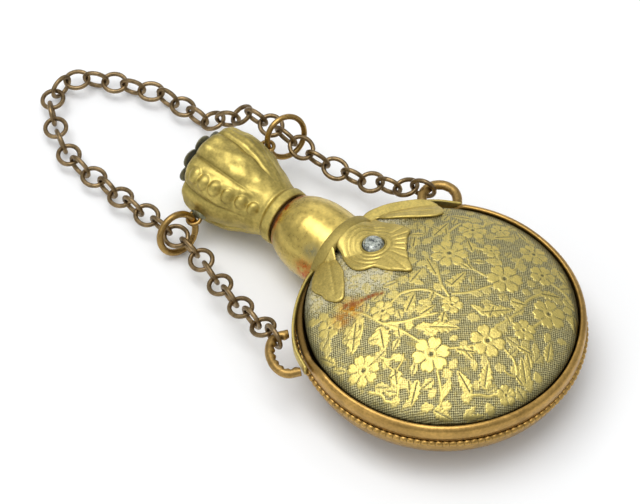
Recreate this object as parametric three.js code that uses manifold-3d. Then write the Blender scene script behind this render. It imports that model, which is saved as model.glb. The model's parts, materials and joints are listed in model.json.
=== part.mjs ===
// A metal scent flask that hangs from a finger chain, lying on its back, in millimetres with +Z up.
// The origin is the middle of the flat on the back of the flask, and +Y runs along the neck to the stopper.
import * as THREE from "three";
import { mergeVertices } from "three/addons/utils/BufferGeometryUtils.js";
import Module from "manifold-3d";

const wasm = await Module();
wasm.setup();

// Driving dimensions
const GAP = 0.3; // kept between neighbours
const SHEET = 0.6; // sheet metal of the shells
const LATHE_STEPS = 48;

const DOME_RADIUS = 18.6;
const DOME_BASE = 9.9; // height of the front dome's edge
const DOME_RISE = 4.9;
const BACK_FLAT = 5; // radius of the flat that the flask lies on
const BACK_RADIUS = 19.5;
const BACK_RISE = 5.8;
const BEZEL_INNER = 18.9;
const BEZEL_OUTER = 19.85;
const BEZEL_BOTTOM = 8;
const BEZEL_TOP = 10.2;
const GIRDLE_RADIUS = 19.75;
const GIRDLE_WIRE = 0.5;
const GIRDLE_HEIGHT = 7.25;

const AXIS_HEIGHT = 7; // height of the neck's and the stopper's common axis
const NECK_RADIUS = 5.7;
const NECK_ROOT = 17.6; // y of the sleeve's inner end
const LIP_END = 27.8;
const LIP_RADIUS = 4.35;
const VIAL_RADIUS = 17.2;
const VIAL_HALF_HEIGHT = 6.1;
const VIAL_CENTRE = 7.4;
const VIAL_WALL = 1;
const VIAL_NECK = 3.6;
const VIAL_BORE = 2.95;

const COLLAR_SHEET = 0.4;
const COLLAR_END = 20.6; // y of the collar's outer end on the neck
const COLLAR_STEP = 16.7; // y where the collar steps up from the dome to the neck
const HOOP_WIDTH = 1.2; // of the stretch that goes all round the neck
const GEM_RADIUS = 1.5;
const GEM_PLACE = [0.6, 12.9];
const STRAP_RADIUS = 20.6;
const STRAP_BOTTOM = 6.5;
const STRAP_TOP = 9.3;
const STRAP_START = 12; // degrees either side of the neck's direction
const STRAP_OVERRUN = 10; // degrees past the middle of a lug

const LUG_WIRE = 0.65;
const LUG_HEIGHT = 7.9;
const LUG_ROOT = STRAP_RADIUS + COLLAR_SHEET + GAP + LUG_WIRE;
const LUGS = {
  left: { angle: 147, along: 3.2, out: 2.0 },
  right: { angle: 40.6, along: 2.5, out: 2.6 },
};

const SHELL_START = 28.3;
const SHELL_END = 44.2;
const SHELL_RADIUS = 6.98;
const CAP_RADIUS = 5.2;
const CAP_LOBES = 8;
const PLUG_TIP = 25.8;
const PLUG_RADIUS = 2.6;

const SHELL_WALL = 0.6;
const EYELET_REACH = 7.85; // from the stopper's axis to the eyelet's hole
const EYELET_RADIUS = 0.95;
const EYELET_WIRE = 0.3;
const RING_RADIUS = 3.2;
const RING_WIRE = 0.36;
const RING_LEAN = 20;
const RINGS = {
  left: { y: 39.8, angle: 198, yaw: -7 },
  right: { y: 39.6, angle: 3, yaw: 15 },
};

const LINK_RADIUS = 1.78;
const LINK_WIRE = 0.28;
const LINK_TWIST = 16; // how far the links lean over between their straight places
const LINK_COUNTS = { left: 16, arch: 13, right: 16 }; // along the left run, the arch and the right run

// Chain route, from the left lug through the left ring to the fold, over the arch and back to the right lug
const LEFT_RUN = [
  [-17.5, 14.0, 8.2], [-16.6, 17.0, 7.1], [-15.8, 20.5, 5.9], [-14.9, 24.2, 5.0], [-13.8, 28.0, 4.2],
  [-12.5, 31.8, 3.5], [-11.3, 35.2, 3.2], [-10.8, 38.5, 3.2], [-10.8, 43.0, 3.2], [-10.8, 47.5, 3.15],
  [-10.5, 51.5, 2.3], [-10.2, 55.0, 2.1], [-10.2, 59.2, 2.1],
];
const ARCH = [
  [-10.2, 59.2, 2.1], [-10.1, 62.0, 2.1], [-9.0, 65.4, 2.1], [-7.3, 68.7, 2.1], [-5.4, 71.6, 2.1],
  [-3.1, 73.8, 2.1], [-0.2, 74.6, 2.1], [2.5, 73.2, 2.1], [4.4, 70.5, 2.1], [6.2, 66.8, 2.1],
  [7.8, 63.0, 2.1], [8.5, 61.1, 2.1], [8.6, 59.2, 2.1],
];
const RIGHT_RUN = [
  [8.6, 59.2, 2.1], [8.6, 55.2, 2.1], [9.1, 52.2, 2.3], [10.2, 49.4, 4.3], [11.1, 46.9, 6.6],
  [11.35, 44.2, 7.2], [11.35, 40.5, 7.2], [11.45, 37.3, 6.9], [12.3, 33.8, 5.2], [13.4, 30.2, 4.4],
  [14.3, 26.6, 4.4], [15.3, 22.8, 5.3], [16.2, 19.2, 6.9], [17.1, 16.1, 8.3],
];

const radians = THREE.MathUtils.degToRad;

function metal(color, roughness, metalness = 1) {
  return new THREE.MeshStandardMaterial({ color, roughness, metalness });
}

const MATERIALS = {
  gilt: metal(0xa89a5c, 0.42),
  brass: metal(0xb89a52, 0.38),
  rose: metal(0xb88c62, 0.4),
  olive: metal(0xa59440, 0.32),
  bronze: metal(0x6b5f4a, 0.45),
  pewter: metal(0x5c5f5a, 0.5),
  glass: metal(0xd8e2dc, 0.05, 0),
  stone: metal(0x9aa6a8, 0.08, 0),
  cork: metal(0x9c7650, 0.85, 0),
};

// A three.js geometry as a solid, and back
function solid(geometry) {
  const plain = geometry.clone();
  plain.deleteAttribute("normal");
  plain.deleteAttribute("uv");
  const merged = mergeVertices(plain, 1e-4);
  return new wasm.Manifold(
    new wasm.Mesh({
      numProp: 3,
      vertProperties: new Float32Array(merged.attributes.position.array),
      triVerts: new Uint32Array(merged.index.array),
    }),
  );
}

function geometryOf(manifold) {
  const mesh = manifold.getMesh();
  const geometry = new THREE.BufferGeometry();
  geometry.setAttribute("position", new THREE.BufferAttribute(mesh.vertProperties, 3));
  geometry.setIndex(new THREE.BufferAttribute(mesh.triVerts, 1));
  geometry.computeVertexNormals();
  return geometry;
}

function part(name, geometry, material) {
  const mesh = new THREE.Mesh(geometry, material);
  mesh.name = name;
  return mesh;
}

// A solid of revolution about Z, from [radius, height] points
function turned(points, steps = LATHE_STEPS) {
  const lathe = new THREE.LatheGeometry(points.map(([r, z]) => new THREE.Vector2(r, z)), steps);
  return lathe.rotateX(Math.PI / 2);
}

// A solid of revolution about the neck's axis, from [y, radius] points
function turnedOnNeck(points, steps = 32) {
  const lathe = new THREE.LatheGeometry(points.map(([y, r]) => new THREE.Vector2(r, y)), steps);
  return lathe.translate(0, 0, AXIS_HEIGHT);
}

function neckRod(radius, from, to, steps = 32) {
  return solid(turnedOnNeck([[from, 0], [from, radius], [to, radius], [to, 0]], steps));
}

// Heights of the front and back shells at a radius from the middle
function domeHeight(r, radius = DOME_RADIUS, base = DOME_BASE) {
  return base + DOME_RISE * (1 - Math.min(r / radius, 1) ** 2.2) ** 0.85;
}

function backHeight(r, radius = BACK_RADIUS) {
  const t = THREE.MathUtils.clamp((r - BACK_FLAT) / (radius - BACK_FLAT), 0, 1);
  return BACK_RISE * (1 - (1 - t ** 2.1) ** 0.5);
}

function samples(count, from, to) {
  return Array.from({ length: count + 1 }, (_, i) => from + ((to - from) * i) / count);
}

function domePoints(radius, base, count = 8) {
  return samples(count, 0, 1).map((t) => {
    const r = radius * Math.sin((t * Math.PI) / 2);
    return [r, domeHeight(r, radius, base)];
  });
}

function backPoints(radius, lift, count = 7) {
  return samples(count, 0, 1).map((t) => {
    const r = BACK_FLAT + (radius - BACK_FLAT) * Math.sin((t * Math.PI) / 2);
    return [r, backHeight(r, radius) + lift];
  });
}

// The whole outside of the flask grown by a margin, to cut its neighbours with
function bodyBlank(margin) {
  const top = domePoints(DOME_RADIUS + margin / 2, DOME_BASE + margin).reverse();
  const bottom = backPoints(BACK_RADIUS + margin, -margin);
  const waist = GIRDLE_RADIUS + GIRDLE_WIRE + margin;
  return solid(turned([
    [0, -margin],
    ...bottom,
    [BACK_RADIUS + margin, GIRDLE_HEIGHT - GIRDLE_WIRE - margin],
    [waist, GIRDLE_HEIGHT - GIRDLE_WIRE - margin],
    [waist, GIRDLE_HEIGHT + GIRDLE_WIRE + margin],
    [BEZEL_OUTER + margin, GIRDLE_HEIGHT + GIRDLE_WIRE + margin],
    [BEZEL_OUTER + margin, BEZEL_TOP - 0.6],
    [BEZEL_OUTER - 0.3 + margin, BEZEL_TOP + margin],
    ...top,
  ]));
}

const neckHole = neckRod(VIAL_NECK + GAP, 10, 25, 24);

function cutForNeck(geometry) {
  return geometryOf(solid(geometry).subtract(neckHole));
}

function frontPlate() {
  const outer = domePoints(DOME_RADIUS, DOME_BASE).reverse();
  const inner = domePoints(DOME_RADIUS - SHEET, DOME_BASE - SHEET);
  return cutForNeck(turned([...inner, [DOME_RADIUS, DOME_BASE - SHEET], ...outer]));
}

function backPlate() {
  const rim = GIRDLE_HEIGHT - GIRDLE_WIRE - 0.25;
  const outer = backPoints(BACK_RADIUS, 0);
  const inner = backPoints(BACK_RADIUS - SHEET, SHEET).reverse();
  return cutForNeck(turned([
    [0, 0], ...outer, [BACK_RADIUS, rim], [BACK_RADIUS - SHEET, rim], ...inner, [0, SHEET],
  ]));
}

function frontBezel() {
  return cutForNeck(turned([
    [BEZEL_INNER, BEZEL_BOTTOM],
    [BEZEL_OUTER, BEZEL_BOTTOM],
    [BEZEL_OUTER - 0.05, BEZEL_TOP - 1.1],
    [BEZEL_OUTER - 0.25, BEZEL_TOP - 0.4],
    [BEZEL_OUTER - 0.55, BEZEL_TOP],
    [BEZEL_INNER + 0.1, BEZEL_TOP - 0.1],
    [BEZEL_INNER, BEZEL_BOTTOM],
  ]));
}

function ropeGirdle() {
  const section = samples(6, 0, 2 * Math.PI).map((a) => [
    GIRDLE_RADIUS + GIRDLE_WIRE * Math.cos(a),
    GIRDLE_HEIGHT + GIRDLE_WIRE * Math.sin(a),
  ]);
  section[section.length - 1] = section[0];
  return cutForNeck(turned(section, 72));
}

function lens(radius, halfHeight) {
  return solid(turned(samples(10, -90, 90).map((a) => [
    Math.abs(a) === 90 ? 0 : radius * Math.cos(radians(a)),
    VIAL_CENTRE + halfHeight * Math.sin(radians(a)),
  ]), 32));
}

function glassVial() {
  const outside = lens(VIAL_RADIUS, VIAL_HALF_HEIGHT).add(neckRod(VIAL_NECK, 12, LIP_END - 0.3, 24));
  const inside = lens(VIAL_RADIUS - VIAL_WALL, VIAL_HALF_HEIGHT - VIAL_WALL);
  return geometryOf(outside.subtract(inside).subtract(neckRod(VIAL_BORE, 12, LIP_END + 1, 24)));
}

function neckSleeve() {
  const bore = VIAL_NECK + GAP;
  const sleeve = turnedOnNeck([
    [NECK_ROOT, NECK_RADIUS - SHEET],
    [NECK_ROOT, NECK_RADIUS - 0.05],
    [COLLAR_END, NECK_RADIUS],
    [22.4, NECK_RADIUS],
    [24.4, NECK_RADIUS - 0.28],
    [26, NECK_RADIUS - 0.8],
    [27.1, LIP_RADIUS + 0.2],
    [LIP_END - 0.2, LIP_RADIUS + 0.05],
    [LIP_END, LIP_RADIUS - 0.15],
    [LIP_END, bore],
    [26, bore + 0.1],
    [24, NECK_RADIUS - SHEET - 0.35],
    [22, NECK_RADIUS - SHEET],
    [NECK_ROOT, NECK_RADIUS - SHEET],
  ]);
  return geometryOf(solid(sleeve).subtract(bodyBlank(GAP)));
}

// Outlines of the collar's engraved plaque and its two leaves, seen from above
function outline(points, tension = 0.3) {
  const corners = points.map(([x, y]) => new THREE.Vector3(x, y, 0));
  const curve = new THREE.CatmullRomCurve3(corners, true, "catmullrom", tension);
  const edge = curve.getPoints(points.length * 3).slice(0, -1);
  return new THREE.Shape(edge.map((p) => new THREE.Vector2(p.x, p.y)));
}

function circle(radius, sides, x = 0, y = 0) {
  const centre = new THREE.Vector2(x, y);
  const spoke = new THREE.Vector2(radius, 0);
  const turns = samples(sides, 0, 2 * Math.PI).slice(0, -1);
  return new THREE.Shape(turns.map((a) => spoke.clone().rotateAround(new THREE.Vector2(), a).add(centre)));
}

function prism(shape, from, to) {
  const settings = { depth: to - from, bevelEnabled: false, curveSegments: 20 };
  const block = new THREE.ExtrudeGeometry(shape, settings);
  return solid(block.translate(0, 0, from));
}

function plaqueShape() {
  return outline([
    [-3.1, 17.4], [4.2, 17.4], [6.0, 13.6], [5.7, 11.0], [3.5, 9.9], [2.2, 8.0], [-0.1, 5.4],
    [-1.5, 7.6], [-2.1, 9.6], [-4.3, 11.4], [-4.7, 13.4], [-2.9, 16.0],
  ]);
}

function leftLeafShape() {
  return outline([
    [-3.7, 17.6], [-4.6, 14.6], [-6.0, 12.0], [-9.2, 10.4], [-10.2, 12.6], [-9.4, 15.4], [-6.6, 18.0],
  ]);
}

function rightLeafShape() {
  return outline([
    [4.1, 17.6], [5.4, 16.6], [7.3, 15.2], [9.4, 13.4], [12.3, 10.2], [13.5, 12.4], [11.8, 14.9],
    [9, 17.3], [5.5, 18.8],
  ]);
}

function strap(fromAngle, toAngle) {
  const shape = new THREE.Shape();
  shape.absarc(0, 0, STRAP_RADIUS + COLLAR_SHEET, radians(fromAngle), radians(toAngle), false);
  shape.absarc(0, 0, STRAP_RADIUS, radians(toAngle), radians(fromAngle), true);
  return prism(shape, STRAP_BOTTOM, STRAP_TOP);
}

function collar() {
  const outer = NECK_RADIUS + GAP + COLLAR_SHEET;
  const skinRadius = DOME_RADIUS + GAP + 0.15;
  const skin = solid(turned([
    [0, 8], [skinRadius, 8], ...domePoints(skinRadius, DOME_BASE + GAP + COLLAR_SHEET).reverse(),
  ]));
  const sheet = [plaqueShape(), leftLeafShape(), rightLeafShape()]
    .map((shape) => prism(shape, 9, 16))
    .reduce((all, one) => all.add(one))
    .subtract(prism(circle(GEM_RADIUS + GAP, 20, ...GEM_PLACE), 9, 16))
    .intersect(skin);
  const upper = solid(new THREE.BoxGeometry(20, 10, 10).translate(0, 19, AXIS_HEIGHT + 5));
  const step = neckRod(outer, COLLAR_STEP, COLLAR_STEP + COLLAR_SHEET).intersect(upper);
  const hoop = neckRod(outer, COLLAR_STEP, COLLAR_END).intersect(upper)
    .add(neckRod(outer, COLLAR_END - HOOP_WIDTH, COLLAR_END));
  const bore = neckRod(NECK_RADIUS + GAP, COLLAR_STEP + COLLAR_SHEET, COLLAR_END + 1);
  const leftStrap = strap(90 + STRAP_START, LUGS.left.angle + STRAP_OVERRUN);
  const rightStrap = strap(LUGS.right.angle - STRAP_OVERRUN, 90 - STRAP_START);
  const whole = sheet.add(hoop).add(step).add(leftStrap).add(rightStrap);
  return geometryOf(whole.subtract(bore).subtract(bodyBlank(GAP)));
}

function rhinestone() {
  const base = domeHeight(Math.hypot(...GEM_PLACE));
  return turned([
    [0, 0.35], [GEM_RADIUS - 0.35, 0.35], [GEM_RADIUS, 0.8], [GEM_RADIUS * 0.55, 1.3], [0, 1.3],
  ], 12).translate(...GEM_PLACE, base);
}

// A half-round wire loop standing out from a strap
function lug({ angle, along, out }) {
  const path = new THREE.CatmullRomCurve3(samples(8, 0, 180).map((a) => {
    const around = along * Math.cos(radians(a));
    const reach = LUG_ROOT + out * Math.sin(radians(a)) - (a % 180 === 0 ? LUG_WIRE : 0);
    return new THREE.Vector3(reach, around, 0);
  }));
  const bar = new THREE.ExtrudeGeometry(circle(LUG_WIRE, 8), { steps: 14, extrudePath: path });
  return bar.rotateZ(radians(angle)).translate(0, 0, LUG_HEIGHT);
}

function onNeck(angle, reach, y) {
  const bearing = radians(angle);
  return new THREE.Vector3(reach * Math.cos(bearing), y, AXIS_HEIGHT + reach * Math.sin(bearing));
}

function stopperShell() {
  const outside = [
    [SHELL_START, 4.3], [29.9, 4.35], [30.3, 4.1], [31.3, 4.35], [33, 5.1], [35, 5.95],
    [37.2, 6.6], [39.2, SHELL_RADIUS - 0.04], [41, SHELL_RADIUS], [42.5, SHELL_RADIUS - 0.35],
    [43.6, 5.95], [SHELL_END, 5.2],
  ];
  const inside = [
    [SHELL_END, 4.5], [43.4, 5.2], [42.3, 5.95], [41, SHELL_RADIUS - SHELL_WALL], [39.2, 6.3], [37.2, 5.95],
    [35, 5.25], [33.2, 4.35], [31.6, 3.6], [SHELL_START, 3.6],
  ];
  const shell = solid(turnedOnNeck([...outside, ...inside, outside[0]]));
  const eyelets = Object.values(RINGS).map(({ y, angle }) => {
    const loop = new THREE.TorusGeometry(EYELET_RADIUS, EYELET_WIRE, 6, 12);
    loop.rotateY(-radians(angle));
    return solid(loop.translate(...onNeck(angle, EYELET_REACH, y).toArray()));
  });
  return geometryOf(eyelets.reduce((all, one) => all.add(one), shell));
}

function crownCap() {
  const shape = new THREE.Shape(samples(CAP_LOBES * 4, 0, 2 * Math.PI).slice(0, -1).map((a) => {
    const r = CAP_RADIUS + 0.35 * Math.abs(Math.cos((a * CAP_LOBES) / 2));
    return new THREE.Vector2(r * Math.cos(a), r * Math.sin(a));
  }));
  const cap = new THREE.ExtrudeGeometry(shape, {
    depth: 0.5,
    bevelEnabled: true,
    bevelThickness: 0.25,
    bevelSize: 0.25,
    bevelOffset: -0.25,
    bevelSegments: 1,
  });
  return cap.rotateX(-Math.PI / 2).translate(0, SHELL_END + GAP + 0.25, AXIS_HEIGHT);
}

function stopperPlug() {
  return turnedOnNeck([
    [PLUG_TIP, 0], [PLUG_TIP, PLUG_RADIUS - 0.2], [PLUG_TIP + 0.3, PLUG_RADIUS - 0.05],
    [LIP_END + 0.3, PLUG_RADIUS], [LIP_END + 0.3, 3.3], [33.4, 3.3], [33.4, 0],
  ], 24);
}

// A wire ring hung in an eyelet, leaning and turned about the eyelet's hole
function ring(name, { y, angle, yaw }) {
  const mesh = part(name, new THREE.TorusGeometry(RING_RADIUS, RING_WIRE, 8, 20), MATERIALS.brass);
  mesh.rotation.x = Math.PI / 2;
  mesh.position.x = RING_RADIUS;
  const lean = new THREE.Group();
  lean.rotation.x = -radians(RING_LEAN) * Math.cos(radians(angle));
  lean.add(mesh);
  const turn = new THREE.Group();
  turn.rotation.z = -radians(yaw);
  turn.add(lean);
  const hook = new THREE.Group();
  hook.position.copy(onNeck(angle, EYELET_REACH, y));
  hook.rotation.y = -radians(angle);
  hook.add(turn);
  return hook;
}

// Ends of the links along one stretch of the route, an equal way apart
function joints(route, count, twist) {
  const curve = new THREE.CatmullRomCurve3(route.map((p) => new THREE.Vector3(...p)), false, "centripetal");
  curve.arcLengthDivisions = 2000;
  return samples(count, 0, 1).map((t) => ({ at: curve.getPointAt(t), twist: twist(t) }));
}

function chainLink(name, from, to, upright) {
  const along = to.at.clone().sub(from.at).normalize();
  const side = new THREE.Vector3(0, 0, 1).cross(along).normalize();
  const normal = along.clone().cross(side);
  normal.applyAxisAngle(along, radians((from.twist + to.twist) / 2 + (upright ? 90 : 0)));
  const link = part(name, new THREE.TorusGeometry(LINK_RADIUS, LINK_WIRE, 6, 10), MATERIALS.bronze);
  link.matrix.makeBasis(along, normal.clone().cross(along), normal);
  link.matrix.setPosition(from.at.clone().add(to.at).multiplyScalar(0.5));
  link.matrix.decompose(link.position, link.quaternion, link.scale);
  return link;
}

function chain() {
  const stretches = [
    joints(LEFT_RUN, LINK_COUNTS.left, (t) => -LINK_TWIST * Math.sin(Math.PI * t)),
    joints(ARCH, LINK_COUNTS.arch, (t) => -LINK_TWIST * 0.6 * Math.sin(2 * Math.PI * t)),
    joints(RIGHT_RUN, LINK_COUNTS.right, (t) => LINK_TWIST * Math.sin(Math.PI * t)),
  ];
  const group = new THREE.Group();
  stretches.forEach((ends) => {
    for (let i = 1; i < ends.length; i += 1) {
      const number = group.children.length + 1;
      const name = `chain_link_${String(number).padStart(2, "0")}`;
      group.add(chainLink(name, ends[i - 1], ends[i], number % 2 === 1));
    }
  });
  return group;
}

function flask() {
  const group = new THREE.Group();
  group.add(
    part("glass_vial", glassVial(), MATERIALS.glass),
    part("front_plate", frontPlate(), MATERIALS.gilt),
    part("back_plate", backPlate(), MATERIALS.gilt),
    part("front_bezel", frontBezel(), MATERIALS.rose),
    part("rope_girdle", ropeGirdle(), MATERIALS.brass),
    part("neck_sleeve", neckSleeve(), MATERIALS.brass),
    part("collar", collar(), MATERIALS.brass),
    part("rhinestone", rhinestone(), MATERIALS.stone),
    part("lug_left", lug(LUGS.left), MATERIALS.brass),
    part("lug_right", lug(LUGS.right), MATERIALS.brass),
  );
  return group;
}

function stopper() {
  const group = new THREE.Group();
  group.add(
    part("stopper_shell", stopperShell(), MATERIALS.olive),
    part("crown_cap", crownCap(), MATERIALS.pewter),
    part("stopper_plug", stopperPlug(), MATERIALS.cork),
    ring("ring_left", RINGS.left),
    ring("ring_right", RINGS.right),
  );
  return group;
}

const scentFlask = new THREE.Group();
scentFlask.add(flask(), stopper(), chain());

export default scentFlask;
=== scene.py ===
"""Looks of a round metal scent flask whose stopper is held by a finger chain, built around its CAD model.

Lengths in this file are millimetres unless a name ends in _m. +Z is up, +Y runs along the neck to the
stopper, and the origin is the middle of the flat on the flask's back.
"""

import json
import math

import bmesh
import bpy
import numpy as np
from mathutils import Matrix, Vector, geometry


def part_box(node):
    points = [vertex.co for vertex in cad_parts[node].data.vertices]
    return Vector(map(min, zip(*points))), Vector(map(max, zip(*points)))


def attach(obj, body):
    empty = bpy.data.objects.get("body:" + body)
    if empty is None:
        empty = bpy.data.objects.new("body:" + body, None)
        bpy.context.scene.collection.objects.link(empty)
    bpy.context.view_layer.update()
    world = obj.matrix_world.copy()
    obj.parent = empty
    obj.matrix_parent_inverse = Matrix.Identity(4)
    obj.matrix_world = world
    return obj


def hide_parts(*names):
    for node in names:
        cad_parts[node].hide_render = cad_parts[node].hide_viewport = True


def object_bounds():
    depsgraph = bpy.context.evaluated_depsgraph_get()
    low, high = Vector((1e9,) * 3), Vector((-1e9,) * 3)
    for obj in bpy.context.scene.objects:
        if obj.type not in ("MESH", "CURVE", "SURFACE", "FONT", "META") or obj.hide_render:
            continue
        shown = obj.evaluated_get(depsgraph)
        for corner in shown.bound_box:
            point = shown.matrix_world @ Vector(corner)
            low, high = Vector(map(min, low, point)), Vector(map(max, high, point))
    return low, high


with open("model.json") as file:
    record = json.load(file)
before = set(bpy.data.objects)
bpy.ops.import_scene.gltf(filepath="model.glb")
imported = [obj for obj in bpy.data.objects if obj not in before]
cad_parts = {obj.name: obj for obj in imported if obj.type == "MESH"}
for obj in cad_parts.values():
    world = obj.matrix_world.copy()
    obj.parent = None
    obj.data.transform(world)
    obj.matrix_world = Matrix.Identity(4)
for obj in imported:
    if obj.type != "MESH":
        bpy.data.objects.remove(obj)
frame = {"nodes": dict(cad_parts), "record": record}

bl_info = {
    "name": "Scent Flask",
    "version": (1, 0, 0),
    "blender": (4, 5, 0),
    "location": "View3D > Sidebar > Scent Flask",
    "description": "Builds the metalwork, liner, stopper and chain of a chatelaine scent flask",
    "category": "Add Mesh",
}

MM = 0.001
CURVE_STEPS = 24
CAD_LOW, CAD_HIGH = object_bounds()


def low(node):
    """Lowest corner of a CAD node in millimetres."""
    return np.array(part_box(node)[0]) / MM


def high(node):
    """Highest corner of a CAD node in millimetres."""
    return np.array(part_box(node)[1]) / MM


# Sizes taken from the frame
DOME_RADIUS = float(high("front_plate")[0])
DOME_TOP = float(high("front_plate")[2])
BACK_RADIUS = float(high("back_plate")[0])
BACK_TOP = float(high("back_plate")[2])
AXIS_HEIGHT = float(low("stopper_plug")[2] + high("stopper_plug")[2]) / 2
NECK_RADIUS = float(high("neck_sleeve")[0])
LIP_END = float(high("neck_sleeve")[1])
SHELL_START = float(low("stopper_shell")[1])
SHELL_END = float(high("stopper_shell")[1])
CAP_START = float(low("crown_cap")[1])
PLUG_TIP = float(low("stopper_plug")[1])
PLUG_END = float(high("stopper_plug")[1])
VIAL_END = float(high("glass_vial")[1])
GEM_PLACE = (low("rhinestone") + high("rhinestone")) / 2

# Shapes shared by several pieces
DOME_BASE = 9.9
DOME_RISE = DOME_TOP - DOME_BASE
WALL = 0.6
BACK_FLAT = 5.0
BACK_RISE = 5.8
GIRDLE_RADIUS = 19.75
GIRDLE_HEIGHT = 7.25
BEZEL_TOP = 10.2
BEZEL_FOOT = 8.0
GIRDLE_WIRE = 0.5
COLLAR_SHEET = 0.4
GEM_HOLE_RADIUS = 1.62
GEM_CUP_RADIUS = 1.72
GEM_CUP_SINK = 0.06
HOOP_START = 17.3
HOOP_END = 18.7
HOOP_RADIUS = 6.05
STRAP_RADIUS = 20.6
STRAP_STEPS = 60
LUG_HEIGHT = 7.9
LUG_GAP = 0.95
LUG_WIRE = 0.72
NECK_ROOT = 19.2
NECK_BORE = 3.95
NECK_BORE_START = 23.5


def linear(code):
    """An sRGB hex colour as the linear numbers that shaders use."""
    parts = [int(code[i:i + 2], 16) / 255 for i in (1, 3, 5)]
    return tuple(c / 12.92 if c <= 0.04045 else ((c + 0.055) / 1.055) ** 2.4 for c in parts)


def colour(name, description, code):
    """A colour that the user can change."""
    return bpy.props.FloatVectorProperty(
        name=name, description=description, subtype="COLOR", min=0, max=1, default=linear(code))


def length(name, description, millimetres):
    """A length that the user can change."""
    return bpy.props.FloatProperty(
        name=name, description=description, subtype="DISTANCE", unit="LENGTH", precision=6,
        min=0, default=millimetres * MM)


class FlaskSizes(bpy.types.PropertyGroup):
    """Sizes of the ornament."""

    relief: length("Relief height", "How far the flowers stand out of the dome", 0.2)
    stipple: length("Stipple spacing", "From thread to thread of the woven ground", 0.4)
    girdle_beads: bpy.props.IntProperty(
        name="Girdle beads", description="Milled beads round the girdle", min=12, default=132)
    bead_depth: length("Bead depth", "Depth of the cuts between the milled beads", 0.16)
    rib_height: length("Rib height", "How far the stopper's ribs stand out", 0.34)
    pearl_height: length("Pearl height", "How far the stopper's row of pearls stands out", 0.6)
    engraving: length("Engraving depth", "Depth of the lines cut in the collar", 0.15)


class FlaskColours(bpy.types.PropertyGroup):
    """Colours of the metals, the stone and the floor."""

    gilt: colour("Gilt", "Worn gilding on the flowers", "#E0CC76")
    silver: colour("Silver", "Tarnished silvering of the stippled ground", "#CDC492")
    amber: colour("Amber", "Orange tint round the rust", "#B8781A")
    # Darkens the gaps of the woven ground, the grooves and the dome's edge by the bezel
    wire: colour("Wire brass", "Rings, lugs and eyelets", "#B08F54")
    recess_dark: colour("Soot", "Dirt in the recesses", "#5C583C")
    bloom: colour("Bloom", "Whitish bloom by the collar", "#D6D1B6")
    rust: colour("Rust", "Rust streak on the dome", "#8A4A08")
    rose: colour("Rose brass", "Bezel band", "#C09A56")
    sheet: colour("Sheet brass", "Matte collar", "#DCC672")
    sleeve: colour("Neck brass", "Polished neck sleeve", "#E4CA70")
    copper: colour("Copper", "Where the brass has worn to copper", "#B04E12")
    verdigris: colour("Verdigris", "Green-grey spots", "#434E44")
    stamped: colour("Stamped brass", "Stopper", "#CAB666")
    bronze: colour("Bronze", "Chain links", "#967F5C")
    pewter: colour("Pewter", "Crown cap", "#ABADA2")
    cork: colour("Cork", "Stopper's plug", "#A9794B")
    solder: colour("Solder", "Lumps that hold the eyelets", "#95977C")
    glass: colour("Glass", "Bottle inside", "#FAFEFC")
    # The pale colour is painted highlight in the facets
    stone: colour("Stone", "Pale facets of the paste stone", "#B9BFB4")
    foil: colour("Foil", "Dark flashes of the paste stone", "#39403F")
    floor: colour("Floor", "Paper that the flask lies on", "#F4F5F6")


# ---------------------------------------------------------------- mesh helpers

def quads(rows, columns, wrap_rows=False, wrap_columns=False, start=0):
    """Corner numbers of the quads of a grid whose points are stored row by row."""
    down_steps = np.arange(rows - (not wrap_rows))
    right_steps = np.arange(columns - (not wrap_columns))
    i, j = np.meshgrid(down_steps, right_steps, indexing="ij")
    down, right = (i + 1) % rows, (j + 1) % columns
    corners = [i * columns + j, i * columns + right, down * columns + right, down * columns + j]
    return (np.stack(corners, -1).reshape(-1, 4) + start).tolist()


def tube(rows, columns):
    """Corner numbers of the faces of a closed-ended tube whose rings are stored one after another."""
    last = (rows - 1) * columns
    ends = [list(range(columns))[::-1], list(range(last, last + columns))]
    return quads(rows, columns, wrap_columns=True) + ends


def full_turn(count):
    """Angles an equal way apart round a circle."""
    return np.linspace(0, 2 * np.pi, count, endpoint=False)


def smooth(low_edge, high_edge, value):
    """0 below the low edge, 1 above the high edge and smooth between them."""
    t = np.clip((value - low_edge) / (high_edge - low_edge), 0, 1)
    return t * t * (3 - 2 * t)


def closed_up(mesh):
    """Joins points that meet, as at a pole, and turns every face outwards."""
    work = bmesh.new()
    work.from_mesh(mesh)
    bmesh.ops.remove_doubles(work, verts=work.verts, dist=0.01 * MM)
    bmesh.ops.recalc_face_normals(work, faces=work.faces)
    work.to_mesh(mesh)
    work.free()


def piece(name, points, faces, material, body, slot, stands_for=(), marks=None, soft=True):
    """A mesh from points in millimetres, riding on a CAD body, with one number per point for each mark."""
    mesh = bpy.data.meshes.new(name)
    mesh.from_pydata((np.asarray(points, float) * MM).tolist(), [], faces)
    mesh.validate()
    for mark, values in (marks or {}).items():
        attribute = mesh.attributes.new(mark, "FLOAT", "POINT")
        attribute.data.foreach_set("value", np.asarray(values, np.float32).ravel())
    mesh.polygons.foreach_set("use_smooth", [soft] * len(mesh.polygons))
    mesh.materials.append(material)
    made = bpy.data.objects.new(name, mesh)
    bpy.context.scene.collection.objects.link(made)
    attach(made, body)
    if stands_for:
        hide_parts(*stands_for)
    closed_up(mesh)


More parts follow.
